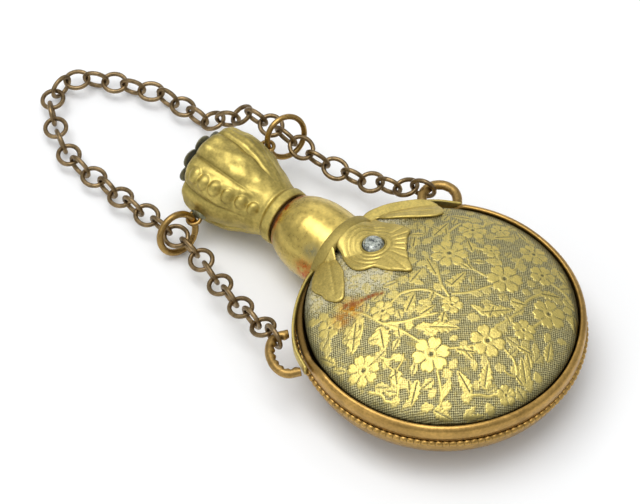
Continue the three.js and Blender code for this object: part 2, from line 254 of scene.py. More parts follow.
def resample(points, count, closed=False):
    """Points an equal way apart on a smooth curve through the given points."""
    p = np.asarray(points, float)
    p = np.vstack([p[-1], p, p[:2]]) if closed else np.vstack([2 * p[0] - p[1], p, 2 * p[-1] - p[-2]])
    fine = []
    for a, b, c, d in zip(p[:-3], p[1:-2], p[2:-1], p[3:]):
        t = np.linspace(0, 1, CURVE_STEPS, endpoint=False)[:, None]
        fine.append(0.5 * (2 * b + (c - a) * t + (2 * a - 5 * b + 4 * c - d) * t ** 2
                           + (3 * b - a - 3 * c + d) * t ** 3))
    fine = np.vstack(fine + [p[-2][None]])
    along = np.concatenate([[0], np.cumsum(np.linalg.norm(np.diff(fine, axis=0), axis=1))])
    wanted = np.linspace(0, along[-1], count, endpoint=not closed)
    return np.stack([np.interp(wanted, along, fine[:, k]) for k in range(fine.shape[1])], 1)


def turned(profile, steps, about_neck=False, closed=True):
    """Points and faces of a turned solid. Its profile is [radius, height], or [y, radius] about the neck."""
    profile = np.asarray(profile, float)
    turn = full_turn(steps)
    if about_neck:
        y, r = profile[:, :1], profile[:, 1:]
        grid = [r * np.cos(turn), y + 0 * turn, AXIS_HEIGHT + r * np.sin(turn)]
    else:
        r, z = profile[:, :1], profile[:, 1:]
        grid = [r * np.cos(turn), r * np.sin(turn), z + 0 * turn]
    points = np.stack(grid, -1).reshape(-1, 3)
    return points, quads(len(profile), steps, wrap_rows=closed, wrap_columns=True)


def swept(path, sections, wrap=False):
    """Points and faces of a bar whose cross-sections (side, up) follow a path that stays near level."""
    path = np.asarray(path, float)
    sections = np.broadcast_to(sections, (len(path),) + np.shape(sections)[-2:])
    if wrap:
        along = np.roll(path, -1, 0) - np.roll(path, 1, 0)
    else:
        along = np.gradient(path, axis=0)
    along /= np.linalg.norm(along, axis=1)[:, None]
    side = np.cross([0, 0, 1], along)
    side /= np.linalg.norm(side, axis=1)[:, None]
    up = np.cross(along, side)
    points = path[:, None] + sections[..., :1] * side[:, None] + sections[..., 1:] * up[:, None]
    columns = points.shape[1]
    if wrap:
        faces = quads(len(path), columns, wrap_rows=True, wrap_columns=True)
    else:
        faces = tube(len(path), columns)
    return points.reshape(-1, 3), faces


def round_section(radius, count):
    """Cross-section of a round wire."""
    turn = full_turn(count)
    return np.stack([radius * np.cos(turn), radius * np.sin(turn)], 1)


def joined(*shapes):
    """Several (points, faces) shapes as one."""
    points, faces = [], []
    for more_points, more_faces in shapes:
        start = sum(len(p) for p in points)
        points.append(np.asarray(more_points, float))
        faces += [[start + corner for corner in face] for face in more_faces]
    return np.vstack(points), faces


def waviness(points, size, seed):
    """Slow uneven swell between -1 and 1, as hand-worked metal has, with bumps about size apart."""
    dice = np.random.default_rng(seed)
    total = 0
    for _ in range(6):
        direction = dice.normal(size=3)
        direction *= 2 * np.pi / size / np.linalg.norm(direction) * dice.uniform(0.6, 1.3)
        total = total + np.sin(points @ direction + dice.uniform(0, 2 * np.pi))
    return total / 6


def dome_height(r):
    """Height of the bare dome at a distance from its middle."""
    return DOME_BASE + DOME_RISE * (1 - np.minimum(r / DOME_RADIUS, 1) ** 2.2) ** 0.85


def back_height(r):
    """Height of the back shell's outside at a distance from its middle."""
    t = np.clip((r - BACK_FLAT) / (BACK_RADIUS - BACK_FLAT), 0, 1)
    return BACK_RISE * (1 - (1 - t ** 2.1) ** 0.5)


# ---------------------------------------------------------------- materials

def feed(tree, node, values):
    """Links or sets a node's inputs, each known by its place or by its name with underscores for spaces."""
    for name, value in values.items():
        socket = node.inputs[name.replace("_", " ") if isinstance(name, str) else name]
        if isinstance(value, bpy.types.NodeSocket):
            tree.links.new(value, socket)
        elif socket.type == "RGBA":
            socket.default_value = (*value, 1)
        else:
            socket.default_value = value


def add(tree, kind, *values, out=0, **named):
    """Adds one shader node and gives the output that is wanted.

    Plain values feed its inputs in order, capitalised names feed the inputs of those names, and the other
    names are its settings.
    """
    node = tree.nodes.new("ShaderNode" + kind)
    for name, value in named.items():
        if name[0].islower():
            setattr(node, name, value)
    feed(tree, node, dict(enumerate(values)))
    feed(tree, node, {name: value for name, value in named.items() if name[0].isupper()})
    return node.outputs[out] if len(node.outputs) else None


def new_material(name):
    """A material with its tree, its shader and object coordinates."""
    material = bpy.data.materials.new(name)
    material.use_nodes = True
    tree = material.node_tree
    tree.nodes.clear()
    surface = add(tree, "BsdfPrincipled")
    add(tree, "OutputMaterial", surface)
    return material, tree, surface.node, add(tree, "TexCoord", out="Object")


def per(millimetres):
    """Texture scale that puts one feature every so many millimetres."""
    return 1 / (millimetres * MM)


def darker(value, share):
    """A linear colour made darker."""
    return tuple(c * share for c in value)


def handled_metal(name, bright, brown, roughness, patch_mm, grain_mm, tarnished, relief=None):
    """Metal aged by a century of use: shiny where fingers rub, brown and dull in the hollows, where painted
    shade lies.

    Brown is how dark its tarnishing and its painted shade are beside the bright metal, and the tarnishing
    setting is the most that a patch hides.
    """
    material, tree, shader, place = new_material(name)
    patches = add(tree, "TexNoise", Vector=place, Scale=per(patch_mm), Detail=5, Roughness=0.6,
                  Distortion=0.4)
    grain = add(tree, "TexNoise", Vector=place, Scale=per(grain_mm), Detail=3, Roughness=0.55)
    tarnish = add(tree, "MapRange", patches, 0.42, 0.68, 0, tarnished)
    # Painted shade: where the relief mark is low, the metal is painted brown and dull, as shade in hollows
    # and on sides turned from the light
    if relief:
        raised = add(tree, "Attribute", attribute_name=relief, out="Fac")
        hollow_shade = add(tree, "MapRange", raised, 0.0, 0.6, 0.85, 0.0)
        tarnish = add(tree, "Math", tarnish, hollow_shade, operation="MAXIMUM")
    metal = add(tree, "MixRGB", tarnish, tuple(bright), darker(bright, brown))
    speck = add(tree, "MapRange", grain, 0.35, 0.75, 0.78, 1.12)
    shade = add(tree, "CombineColor", speck, speck, speck)
    metal = add(tree, "MixRGB", 1.0, metal, shade, blend_type="MULTIPLY")
    dull = add(tree, "MapRange", tarnish, 0, 1, roughness, roughness + 0.22)
    dull = add(tree, "Math", dull, add(tree, "MapRange", grain, 0.3, 0.7, -0.05, 0.06))
    surface = add(tree, "Math", grain, 0.35, patches, operation="MULTIPLY_ADD")
    normal = add(tree, "Bump", Strength=1.0, Distance=0.05 * MM, Height=surface)
    feed(tree, shader, {"Base_Color": metal, "Metallic": 1.0, "Roughness": dull, "Normal": normal})
    return material, tree, shader, place, metal


def aged_metal(*values, **named):
    """Handled metal with nothing more on it."""
    return handled_metal(*values, **named)[0]


def gilt_on_silver(colours, sizes):
    """Gilding worn down to the raised flowers and faded towards the upper right by wear and painted shade,
    over silvered brass stamped like cloth: two colours.
    """
    material, tree, shader, place = new_material("gilt_relief_on_stippled_silver")
    gilt, groove, worn_and_shaded_side, by_collar, amber, rust, edge_dark = (
        add(tree, "Attribute", attribute_name=name, out="Fac")
        for name in ("gilt", "groove", "worn_and_shaded_side", "bloom", "amber", "rust", "edge_dark"))
    patches, grain, slow, flecks, ragged = (
        add(tree, "TexNoise", Vector=place, Scale=per(size), Detail=detail, Roughness=rough, Distortion=bent)
        for size, detail, rough, bent in (
            (4.5, 5, 0.6, 0.5), (0.28, 3, 0.7, 0), (2.5, 2, 0.55, 0), (0.9, 6, 0.75, 0.6), (0.8, 5, 0.75, 0)))

    # The stamped cloth: two crossing waves that drift, broken up by grain, a little coarser than real threads
    # so that they still show from arm's length
    axes = add(tree, "SeparateXYZ", place).node.outputs
    drift = add(tree, "Math", slow, 5.0, operation="MULTIPLY")
    warp, weft = (
        add(tree, "Math", add(tree, "Math", axes[axis], 2 * math.pi / sizes.stipple, drift,
                              operation="MULTIPLY_ADD"), operation="SINE")
        for axis in "XY")
    weave = add(tree, "Math", warp, weft, operation="MULTIPLY")
    knots = add(tree, "MapRange", add(tree, "Math", grain, 2.6, weave, operation="MULTIPLY_ADD"), 0.5, 2.1)
    ground = add(tree, "MixRGB", knots, tuple(colours.recess_dark), tuple(colours.silver))

    # Flecks of gilding left on the ground, and the whitish bloom by the collar
    flecked = add(tree, "Math", add(tree, "MapRange", flecks, 0.5, 0.6, 0, 0.62),
                  add(tree, "MapRange", patches, 0.35, 0.6, 0.35, 1.0), operation="MULTIPLY")
    ground = add(tree, "MixRGB", flecked, ground, darker(colours.gilt, 0.75))
    pale = add(tree, "Math", by_collar, 0.24, grain, operation="MULTIPLY_ADD")
    pale = add(tree, "MapRange", pale, 0.56, 0.68)
    bloom = add(tree, "Math", pale, add(tree, "Math", by_collar, 0.1), operation="MULTIPLY")
    ground = add(tree, "MixRGB", bloom, ground, tuple(colours.bloom))

    # Gilding, thinned towards the upper right by wear and by painted shade, and lost in the grooves
    gold = add(tree, "MixRGB", add(tree, "MapRange", grain, 0.35, 0.7, 0, 0.3), tuple(colours.gilt),
               darker(colours.gilt, 0.72))
    worn = add(tree, "Math", gilt, add(tree, "MapRange", by_collar, 0, 1, 1.0, 0.45), operation="MULTIPLY")
    gilt_wear_and_shade = add(tree, "MixRGB", worn_and_shaded_side, (1,) * 3, add(tree, "MapRange", ragged, 0.4, 0.5, 0.45, 1.0))
    worn = add(tree, "Math", worn, gilt_wear_and_shade, operation="MULTIPLY")
    surface = add(tree, "MixRGB", worn, ground, gold)
    # Darker in the grooves
    surface = add(tree, "MixRGB", add(tree, "Math", groove, 0.75, operation="MULTIPLY"), surface,
                  tuple(colours.recess_dark))

    # Rust with its amber stain, and darker along the bezel
    blotch = add(tree, "MapRange", ragged, 0.36, 0.52)
    stain = add(tree, "Math", amber, blotch, operation="MULTIPLY")
    surface = add(tree, "MixRGB", stain, surface, tuple(colours.amber))
    rusty = add(tree, "Math", rust, blotch, operation="MULTIPLY")
    surface = add(tree, "MixRGB", rusty, surface, tuple(colours.rust))
    surface = add(tree, "MixRGB", edge_dark, surface, tuple(colours.recess_dark))

    # Gilding is smoother than the ground; rust and bloom are dull and hide the metal
    chalk = add(tree, "Math", bloom, 0.8, operation="MULTIPLY")
    not_metal = add(tree, "Math", rusty, chalk, operation="MAXIMUM")
    dull = add(tree, "MixRGB", worn_and_shaded_side, (0.36,) * 3, (0.46,) * 3)
    dull = add(tree, "MixRGB", worn, (0.52,) * 3, dull)
    dull = add(tree, "MixRGB", not_metal, dull, (0.8,) * 3)
    bare = add(tree, "Math", 1.0, gilt, operation="SUBTRACT")
    threads = add(tree, "Math", weave, bare, operation="MULTIPLY")
    rough_ground = add(tree, "Math", threads, 0.5, grain, operation="MULTIPLY_ADD")
    normal = add(tree, "Bump", Strength=1.0, Distance=0.07 * MM, Height=rough_ground)
    metallic = add(tree, "Math", 1.0, not_metal, operation="SUBTRACT")
    feed(tree, shader, {"Base_Color": surface, "Metallic": metallic, "Roughness": dull, "Normal": normal})
    return material


def stained_sleeve(colours):
    """Drawn brass tube, worn bright, with a copper-red stain and a verdigris spot by the collar, and painted
    shade darkening its left side.
    """
    material, tree, shader, place, metal = handled_metal(
        "polished_neck_brass", colours.sleeve, brown=0.5, roughness=0.29, patch_mm=7.0, grain_mm=0.6,
        tarnished=0.2)
    neck_left_shade, copper, verdigris = (
        add(tree, "Attribute", attribute_name=name, out="Fac") for name in ("neck_left_shade", "copper", "verdigris"))
    ragged = add(tree, "TexNoise", Vector=place, Scale=per(1.2), Detail=5, Roughness=0.7)
    ragged = add(tree, "MapRange", ragged, 0.35, 0.6)
    # Painted shade: the neck's left side is painted darker
    metal = add(tree, "MixRGB", neck_left_shade, metal, darker(colours.sleeve, 0.4))
    stain = add(tree, "Math", copper, ragged, operation="MULTIPLY")
    metal = add(tree, "MixRGB", stain, metal, tuple(colours.copper))
    spots = add(tree, "Math", verdigris, ragged, operation="MULTIPLY")
    metal = add(tree, "MixRGB", spots, metal, tuple(colours.verdigris))
    bare = add(tree, "Math", 1.0, spots, operation="SUBTRACT")
    feed(tree, shader, {"Base_Color": metal, "Metallic": bare})
    return material


def clear_glass(colours):
    """Blown soda-lime glass: colourless, with a faint green edge."""
    material, tree, shader, place = new_material("blown_clear_glass")
    ripple = add(tree, "TexNoise", Vector=place, Scale=per(6), Detail=2, Roughness=0.55)
    feed(tree, shader, {
        "Base_Color": tuple(colours.glass), "Roughness": 0.02, "IOR": 1.52, "Transmission_Weight": 1.0,
        "Normal": add(tree, "Bump", Strength=1.0, Distance=0.03 * MM, Height=ripple)})
    return material


def paste_stone(colours):
    """Cut lead glass that has gone grey, over blackened foil: dark flashes, with pale patches that are
    painted highlights in the facets.
    """
    material, tree, shader, place = new_material("greyed_paste_stone")
    cloud = add(tree, "TexNoise", Vector=place, Scale=per(0.55), Detail=4, Roughness=0.75)
    cloud = add(tree, "MapRange", cloud, 0.42, 0.6)
    # Painted highlights: the cloudy pale patches stand for light caught in the facets; the dark is the greyed
    # glass and its foil
    shade = add(tree, "MixRGB", cloud, tuple(colours.foil), tuple(colours.stone))
    feed(tree, shader, {"Base_Color": shade, "Roughness": 0.12, "IOR": 1.62, "Metallic": 0.15,
                        "Coat_Weight": 0.6})
    return material


def cork_bark(colours):
    """Pressed cork: dry, fine grained, with dark pores."""
    material, tree, shader, place = new_material("dry_cork")
    cells = add(tree, "TexVoronoi", Vector=place, Scale=per(0.7), out="Distance")
    pores = add(tree, "TexNoise", Vector=place, Scale=per(0.9), Detail=6, Roughness=0.7)
    pores = add(tree, "MapRange", pores, 0.58, 0.66)
    shade = add(tree, "MixRGB", cells, tuple(colours.cork), darker(colours.cork, 0.6))
    shade = add(tree, "MixRGB", pores, shade, darker(colours.cork, 0.25))
    feed(tree, shader, {"Base_Color": shade, "Roughness": 0.88,
                        "Normal": add(tree, "Bump", Strength=1.0, Distance=0.1 * MM, Height=cells)})
    return material


def floor_paper(colours):
    """Matte white background paper."""
    material, tree, shader, place = new_material("matte_white_paper")
    fibre = add(tree, "TexNoise", Vector=place, Scale=per(0.6), Detail=3, Roughness=0.55)
    fibre = add(tree, "MapRange", fibre, 0.3, 0.7, 0, 0.03)
    shade = add(tree, "MixRGB", fibre, tuple(colours.floor), darker(colours.floor, 0.9))
    feed(tree, shader, {"Base_Color": shade, "Roughness": 0.95, "Specular_IOR_Level": 0.1})
    return material


# ---------------------------------------------------------------- dome ornament

class Ornament:
    """Relief drawn on the dome as heights over points seen from above."""

    def __init__(self, x, y):
        self.x, self.y = x, y
        self.height = np.zeros_like(x)
        self.groove = np.zeros_like(x)

    def raise_to(self, shape):
        self.height = np.maximum(self.height, shape)

    def cut(self, line):
        self.groove = np.maximum(self.groove, line)

    def flower(self, x, y, radius, petals, turn=0.0, strength=1.0):
        """An open flower with notched petals round a ringed eye."""
        dx, dy = self.x - x, self.y - y
        r = np.hypot(dx, dy) / radius
        phase = (np.arctan2(dy, dx) - math.radians(turn)) * petals / 2
        lobe = np.abs(np.cos(phase))
        edge = 0.66 + 0.36 * lobe ** 0.55 - 0.1 * smooth(0.93, 1, lobe)
        petal = smooth(0, 0.1, edge - r)
        self.raise_to(petal * strength * (0.62 + 0.38 * smooth(0.15, 0.75, r)))
        eye = smooth(0.07, 0.0, np.abs(r - 0.21))
        self.raise_to(eye * strength * 1.1)
        between = smooth(0.17, 0.05, np.abs(np.cos(phase)) * (0.3 + r)) * smooth(0.28, 0.36, r) * petal
        self.cut(np.maximum(between, smooth(0.13, 0.08, r)) * strength)
        veins = smooth(0.25, 0.0, np.abs(np.sin(phase * 3))) * smooth(0.62, 0.45, r) * smooth(0.27, 0.33, r)
        self.cut(0.6 * veins * petal * strength)

    def leaf(self, base, tip, width, teeth=5, strength=1.0, veined=True):
        """A serrated leaf with a midrib and side veins."""
        base, tip = np.array(base, float), np.array(tip, float)
        long = np.linalg.norm(tip - base)
        near_by = np.hypot(self.x - (base[0] + tip[0]) / 2, self.y - (base[1] + tip[1]) / 2) < long
        part = Ornament(self.x[near_by], self.y[near_by])
        part.cut_leaf(base, tip, long, width, teeth, strength)
        self.height[near_by] = np.maximum(self.height[near_by], part.height)
        if veined:
            self.groove[near_by] = np.maximum(self.groove[near_by], part.groove)

    def cut_leaf(self, base, tip, long, width, teeth, strength):
        ahead = (tip - base) / long
        t = ((self.x - base[0]) * ahead[0] + (self.y - base[1]) * ahead[1]) / long
        s = -(self.x - base[0]) * ahead[1] + (self.y - base[1]) * ahead[0]
        inside = np.clip(t, 0, 1)
        saw = 1 - 0.34 * ((inside * teeth) % 1)
        half = width / 2 * np.sin(np.pi * inside ** 0.72) ** 0.8 * saw
        blade = smooth(0, 0.16, half - np.abs(s)) * (t > 0) * (t < 1)
        self.raise_to(blade * strength * (0.7 + 0.3 * smooth(0, width / 2, np.abs(s))))
        rib = smooth(0.11, 0.03, np.abs(s)) * smooth(0.05, 0.12, t) * smooth(0.95, 0.8, t)
        slant = (inside * teeth * 1.2 - np.abs(s) / width * 2.2) % 1
        side = smooth(0.16, 0.04, np.abs(slant - 0.5)) * smooth(0.1, 0.3, np.abs(s))
        self.cut(np.maximum(rib, 0.35 * side * (width > 1.6)) * blade * strength)

    def stem(self, points, width=0.34, strength=0.8):
        """A thin raised stalk through the given points."""
        line = resample(points, 5 * len(points))
        nearest = np.full_like(self.x, 1e9)
        for (ax, ay), (bx, by) in zip(line[:-1], line[1:]):
            dx, dy = bx - ax, by - ay
            t = np.clip(((self.x - ax) * dx + (self.y - ay) * dy) / (dx * dx + dy * dy), 0, 1)
            nearest = np.minimum(nearest, np.hypot(self.x - ax - t * dx, self.y - ay - t * dy))
        self.raise_to(strength * smooth(width / 2 + 0.08, width / 2 - 0.08, nearest))

    def bud(self, base, tip, width, strength=1.0):
        """A closed bud with two horns."""
        base, tip = np.array(base, float), np.array(tip, float)
        self.leaf(base, tip, width, 2, strength)
        ahead = tip - base
        across = np.array([-ahead[1], ahead[0]]) * 0.4
        for side in (-1, 1):
            self.stem([base + 0.75 * ahead, base + 1.2 * ahead + side * across,
                       base + 1.6 * ahead + side * across * 1.3], 0.26, strength)


SMALL_LEAVES = 190
SMALL_LEAF_ROOM = 0.75
SMALL_LEAF_REACH = 17.6


def small_leaves(work, flowers):
    """Little leaves and petals strewn thickly between the flowers."""
    dice = np.random.default_rng(8)
    taken = [(x0, y0, radius) for x0, y0, radius, *_ in flowers]
    placed = 0
    for _ in range(6000):
        if placed == SMALL_LEAVES:
            break
        spot = dice.uniform(-SMALL_LEAF_REACH, SMALL_LEAF_REACH, 2)
        crowded = any(np.hypot(*(spot - c[:2])) < c[2] * 0.9 + SMALL_LEAF_ROOM for c in taken)
        if crowded or np.hypot(*spot) > SMALL_LEAF_REACH:
            continue
        turn = dice.uniform(0, 2 * np.pi)
        half = dice.uniform(0.7, 1.2) * np.array([math.cos(turn), math.sin(turn)])
        width, strength = dice.uniform(1.1, 2.1), dice.uniform(0.6, 0.9)
        work.leaf(spot - half, spot + half, width, 3, strength, placed % 3 == 0)
        taken.append((*spot, 0.6))
        placed += 1


def dome_ornament(x, y):
    """Wild roses, leaves and buds on branching stalks, scattered over the dome."""
    work = Ornament(x, y)
    flowers = [
        (-15.6, 0.5, 2.2, 7, 10), (-8.6, -5.3, 2.6, 6, 25), (5.8, 3.7, 2.6, 7, 0), (7.6, -4.6, 2.5, 6, 15),
        (-1.9, -9.5, 2.4, 6, 0), (8.0, -12.1, 2.3, 6, 30), (15.0, -3.9, 2.0, 6, 0), (12.6, -7.3, 1.8, 5, 20),
        (12.0, 4.6, 2.0, 6, 10), (-7.6, 4.1, 1.7, 6, 0), (3.1, -11.7, 1.6, 5, 40), (-1.0, -2.5, 1.5, 5, 18),
        (10.4, 0.0, 1.3, 5, 0), (-13.2, 8.6, 1.6, 5, 30), (-5.6, -15.9, 1.3, 5, 55), (15.2, 2.2, 1.4, 5, 0),
    ]
    small_leaves(work, flowers)
    for x0, y0, radius, petals, turn in flowers:
        work.flower(x0, y0, radius * 1.06, petals, turn)
    leaves = [
        ((-9.7, 2.8), (-12.1, -0.2), 2.9), ((-9.0, -12.7), (-7.9, -9.2), 2.0),
        ((-7.3, -13.5), (-4.0, -11.4), 2.3), ((-2.6, -16.9), (-0.1, -13.9), 2.0),
        ((-12.3, -6.2), (-15.6, -7.8), 2.0), ((-13.8, -10.2), (-12.9, -13.0), 1.8),
        ((-14.6, 3.3), (-10.6, 6.2), 2.4), ((0.5, -5.9), (4.6, -8.9), 2.4),
        ((1.2, -0.3), (4.8, -0.2), 2.0), ((-6.0, 1.4), (-2.6, 2.6), 1.9),
        ((-5.9, -2.2), (-3.0, -5.8), 2.2), ((-5.9, -7.2), (-4.2, -9.6), 1.8),
        ((9.6, -9.2), (11.9, -11.4), 1.9), ((7.0, 7.6), (11.2, 8.1), 1.9),
        ((1.4, 2.2), (3.2, 5.8), 1.7), ((2.2, -16.6), (4.9, -14.9), 1.7),
        ((11.0, -14.1), (9.0, -16.2), 1.6), ((15.6, -7.6), (14.6, -10.4), 1.7),
        ((12.9, 1.6), (15.9, 0.0), 1.5), ((-5.2, -0.3), (-2.4, -0.9), 1.5),
        ((-11.9, -14.4), (-9.3, -15.7), 1.6), ((-16.8, 4.4), (-17.0, 7.2), 1.5),
        ((8.2, 1.5), (9.9, 3.9), 1.4), ((5.2, -7.6), (6.6, -9.6), 1.5),
        ((-2.0, 4.2), (1.2, 4.6), 1.5), ((3.4, 8.2), (5.6, 9.6), 1.3),
        ((14.2, 6.4), (12.6, 9.2), 1.7), ((-4.6, 6.6), (-2.2, 5.4), 1.4),
        ((16.6, -1.4), (17.4, 1.0), 1.2), ((0.4, -12.6), (1.4, -15.0), 1.3),
    ]
    for base, tip, width in leaves:
        work.leaf(base, tip, width)
    work.bud((-14.6, -4.6), (-12.9, -2.7), 2.3)
    work.bud((-2.9, -16.6), (-2.7, -14.9), 1.1)
    work.bud((5.6, -0.6), (5.9, 0.6), 0.9)
    stems = [
        [(-10.4, 8.8), (-9.4, 6.0), (-9.2, 3.0), (-8.5, 0.2), (-8.2, -2.9)],
        [(-9.8, -7.4), (-11.0, -9.0), (-12.4, -10.4), (-13.6, -10.4)],
        [(-9.1, 2.7), (-7.4, 0.8), (-5.6, -0.4), (-3.4, -1.9)],
        [(-9.6, -12.4), (-8.4, -13.3), (-7.5, -14.4), (-6.4, -15.0)],
        [(-16.9, -4.4), (-16.1, -5.7), (-14.6, -4.8)],
        [(-14.6, 3.3), (-12.2, 4.0), (-10.4, 5.4), (-10.2, 8.2)],
        [(-6.4, -6.6), (-5.0, -7.8), (-3.9, -8.6)],
        [(6.0, -2.6), (5.7, -0.4), (5.6, 1.2)],
        [(0.4, -1.4), (2.4, -3.0), (5.2, -4.2)],
        [(0.4, -8.9), (4.0, -9.4), (7.2, -9.0), (9.8, -9.3)],
        [(9.9, -4.6), (12.0, -3.6), (13.4, -3.6)],
        [(4.6, -12.2), (6.0, -12.3)],
        [(9.8, 0.9), (9.0, 2.2), (8.2, 3.2)],
        [(7.6, 5.4), (9.4, 6.6), (12.0, 6.8)],
        [(-13.0, 0.0), (-12.6, -1.4), (-11.4, -2.0)],
        [(-17.2, -2.0), (-16.6, -3.6), (-16.9, -4.6)],
        [(-1.2, -12.0), (-1.4, -13.6), (-2.4, -15.2)],
        [(12.6, -9.0), (12.9, -11.2), (12.0, -13.4)],
        [(-6.2, 4.0), (-3.6, 3.8), (-1.4, 1.6), (-0.8, -1.0)],
        [(2.6, 3.2), (0.8, 1.0), (-0.2, -1.2)],
        [(10.2, -1.3), (9.4, -2.6)],
        [(13.8, 4.2), (15.6, 4.6), (16.8, 3.2)],
    ]
    for points in stems:
        work.stem(points)
    return work


def disc_grid(count):
    """Even square grid bent to a unit disc, row by row."""
    a, b = np.meshgrid(np.linspace(-1, 1, count), np.linspace(-1, 1, count), indexing="ij")
    wide = np.abs(a) > np.abs(b)
    r = np.where(wide, a, b)
    with np.errstate(divide="ignore", invalid="ignore"):
        turn = np.where(wide, np.pi / 4 * b / a, np.pi / 2 - np.pi / 4 * a / b)
    turn = np.nan_to_num(turn)
    return r * np.cos(turn), r * np.sin(turn)


def grid_border(count):
    """Numbers of the points round the edge of a square grid, in order."""
    side = np.arange(count)
    return np.concatenate([
        side * count, (count - 1) * count + side[1:], side[::-1][1:] * count + count - 1, side[::-1][1:-1]])


def near(points, centre, radius):
    """1 at a centre, falling to 0 at the radius."""
    return smooth(radius, 0, np.linalg.norm(points - np.asarray(centre, float), axis=-1))


def dome_shape(sizes):
    """The front dome with its ornament: points, faces and marks."""
    count = 320
    u, v = disc_grid(count)
    x, y = u.ravel() * DOME_RADIUS, v.ravel() * DOME_RADIUS
    r = np.hypot(x, y)
    work = dome_ornament(x, y)
    fade = smooth(DOME_RADIUS, DOME_RADIUS - 0.7, r)
    flat = np.stack([x, y, 0 * x], 1)
    pressed = 0.9 - 0.45 * smooth(-6.0, 6.0, 0.55 * x + 0.85 * y)
    relief = sizes.relief / MM * (work.height - 0.45 * work.groove) * fade * pressed
    z = dome_height(r) + relief + 0.05 * waviness(flat, 9, 4) * fade
    top = np.stack([x, y, z], 1)
    border = top[grid_border(count)]
    rings = [border * [1, 1, 0] + [0, 0, h] for h in (DOME_BASE - 0.25, DOME_BASE - WALL)]
    for share in (0.95, 0.8, 0.55, 0.25):
        inner = border * [share, share, 0]
        inner[:, 2] = dome_height(np.hypot(inner[:, 0], inner[:, 1])) - WALL
        rings.append(inner)
    points = np.vstack([top, *rings, [[0, 0, DOME_TOP - WALL]]])
    edge = len(border)
    faces = quads(count, count)
    loops = [grid_border(count)] + [len(top) + k * edge + np.arange(edge) for k in range(len(rings))]
    for one, two in zip(loops[:-1], loops[1:]):
        faces += np.stack([one, np.roll(one, -1), np.roll(two, -1), two], 1).tolist()
    middle = len(points) - 1
    faces += [[int(p), int(q), middle] for p, q in zip(loops[-1], np.roll(loops[-1], -1))]
    under = len(points) - len(top)
    streak = resample([(-9.6, 8.9, 0), (-8.4, 7.9, 0), (-6.9, 7.2, 0), (-5.2, 6.0, 0)], 40)
    from_streak = np.min(np.linalg.norm(flat[:, None] - streak[None, ::4], axis=2), axis=1)
    rust = smooth(0.62, 0.1, from_streak)
    amber = np.maximum(near(flat, (-9.6, 8.0, 0), 2.6), 0.8 * near(flat, (-11.4, 8.0, 0), 2.2))
    # Wear and painted shade: the gilding fades towards the upper right, where the dome is lit more dully
    worn_and_shaded_side = smooth(-6.0, 4.0, 0.55 * x + 0.85 * y)
    bloom = smooth(4.5, 9.5, y - 0.06 * (x + 3) ** 2 + 1.5 * waviness(flat, 6, 9))
    bloom = np.maximum(bloom, 0.5 * smooth(13.5, 17.5, x) * smooth(2, 9, y))
    # Darker towards the bezel, and under the dome
    edge_dark = 0.75 * smooth(DOME_RADIUS - 1.1, DOME_RADIUS - 0.1, r + 0.3 * waviness(flat, 3, 2))
    on_top = {
        "gilt": np.clip(work.height * 1.3, 0, 1) * (1 - work.groove), "groove": work.groove, "rust": rust,
        "amber": amber, "worn_and_shaded_side": worn_and_shaded_side, "bloom": bloom * 0.66, "edge_dark": edge_dark,
    }
    marks = {name: np.concatenate([values, np.full(under, float(name == "edge_dark"))])
             for name, values in on_top.items()}
    return points, faces, marks


# ---------------------------------------------------------------- flask body

def bezel_shape():
    """The band round the dome, open behind the neck, with tapering ends at the lugs."""
    start, end = math.radians(114), math.radians(360 + 36)
    full = math.radians(150)
    turn = np.linspace(start, end, 300)
    section = np.array([
        [18.88, BEZEL_FOOT], [19.85, BEZEL_FOOT], [19.88, 8.6], [19.86, 9.3], [19.78, 9.7], [19.6, 9.98],
        [19.4, 10.1],
        [19.22, BEZEL_TOP], [19.05, BEZEL_TOP], [18.92, 10.1], [18.88, 9.8],
    ])
    taper = 0.35 + 0.65 * smooth(full, full + 0.3, turn) * smooth(0, 0.1, end - turn)
    r = section[None, :, 0] + 0.03 * np.sin(turn * 7)[:, None]
    z = BEZEL_FOOT + (section[None, :, 1] - BEZEL_FOOT) * taper[:, None]
    points = np.stack([r * np.cos(turn)[:, None], r * np.sin(turn)[:, None], z], -1)
    # Painted shade: the band's tapering start, behind the left strap, is marked low so it is painted dark
    height = np.repeat(smooth(full - 0.02, full + 0.1, turn), len(section))
    return points.reshape(-1, 3), tube(len(turn), len(section)), {"high": height}


def girdle_shape(sizes):
    """The milled wire: a ring of short beads with narrow cuts between them."""
    steps = sizes.girdle_beads * 10
    turn = full_turn(steps)
    around = full_turn(14)
    crest = np.abs(np.sin(turn * sizes.girdle_beads / 2)) ** 0.6
    wire = GIRDLE_WIRE - sizes.bead_depth / MM * (1 - crest)
    r = GIRDLE_RADIUS + wire[:, None] * np.cos(around)
    z = GIRDLE_HEIGHT + wire[:, None] * np.sin(around)
    points = np.stack([r * np.cos(turn)[:, None], r * np.sin(turn)[:, None], z], -1).reshape(-1, 3)
    # Painted shade: the mark falls between the beads, so the cuts are painted dark
    height = np.repeat(crest, len(around))
    return points, quads(steps, len(around), wrap_rows=True, wrap_columns=True), {"high": height}


def back_shape():
    """The plain back shell, a shallow bowl with a small flat."""
    r = np.concatenate([[0.0], np.linspace(1, BACK_FLAT, 4), BACK_FLAT
                        + (BACK_RADIUS - BACK_FLAT) * np.sin(np.linspace(0.04, np.pi / 2, 48))])
    outside = np.stack([r, back_height(r)], 1)
    rim = [[BACK_RADIUS, BACK_TOP], [BACK_RADIUS - WALL, BACK_TOP]]
    inside = np.stack([np.clip(r[::-1] - WALL, 0, None), back_height(r[::-1]) + WALL], 1)
    return turned(np.vstack([outside, rim, inside]), 192)


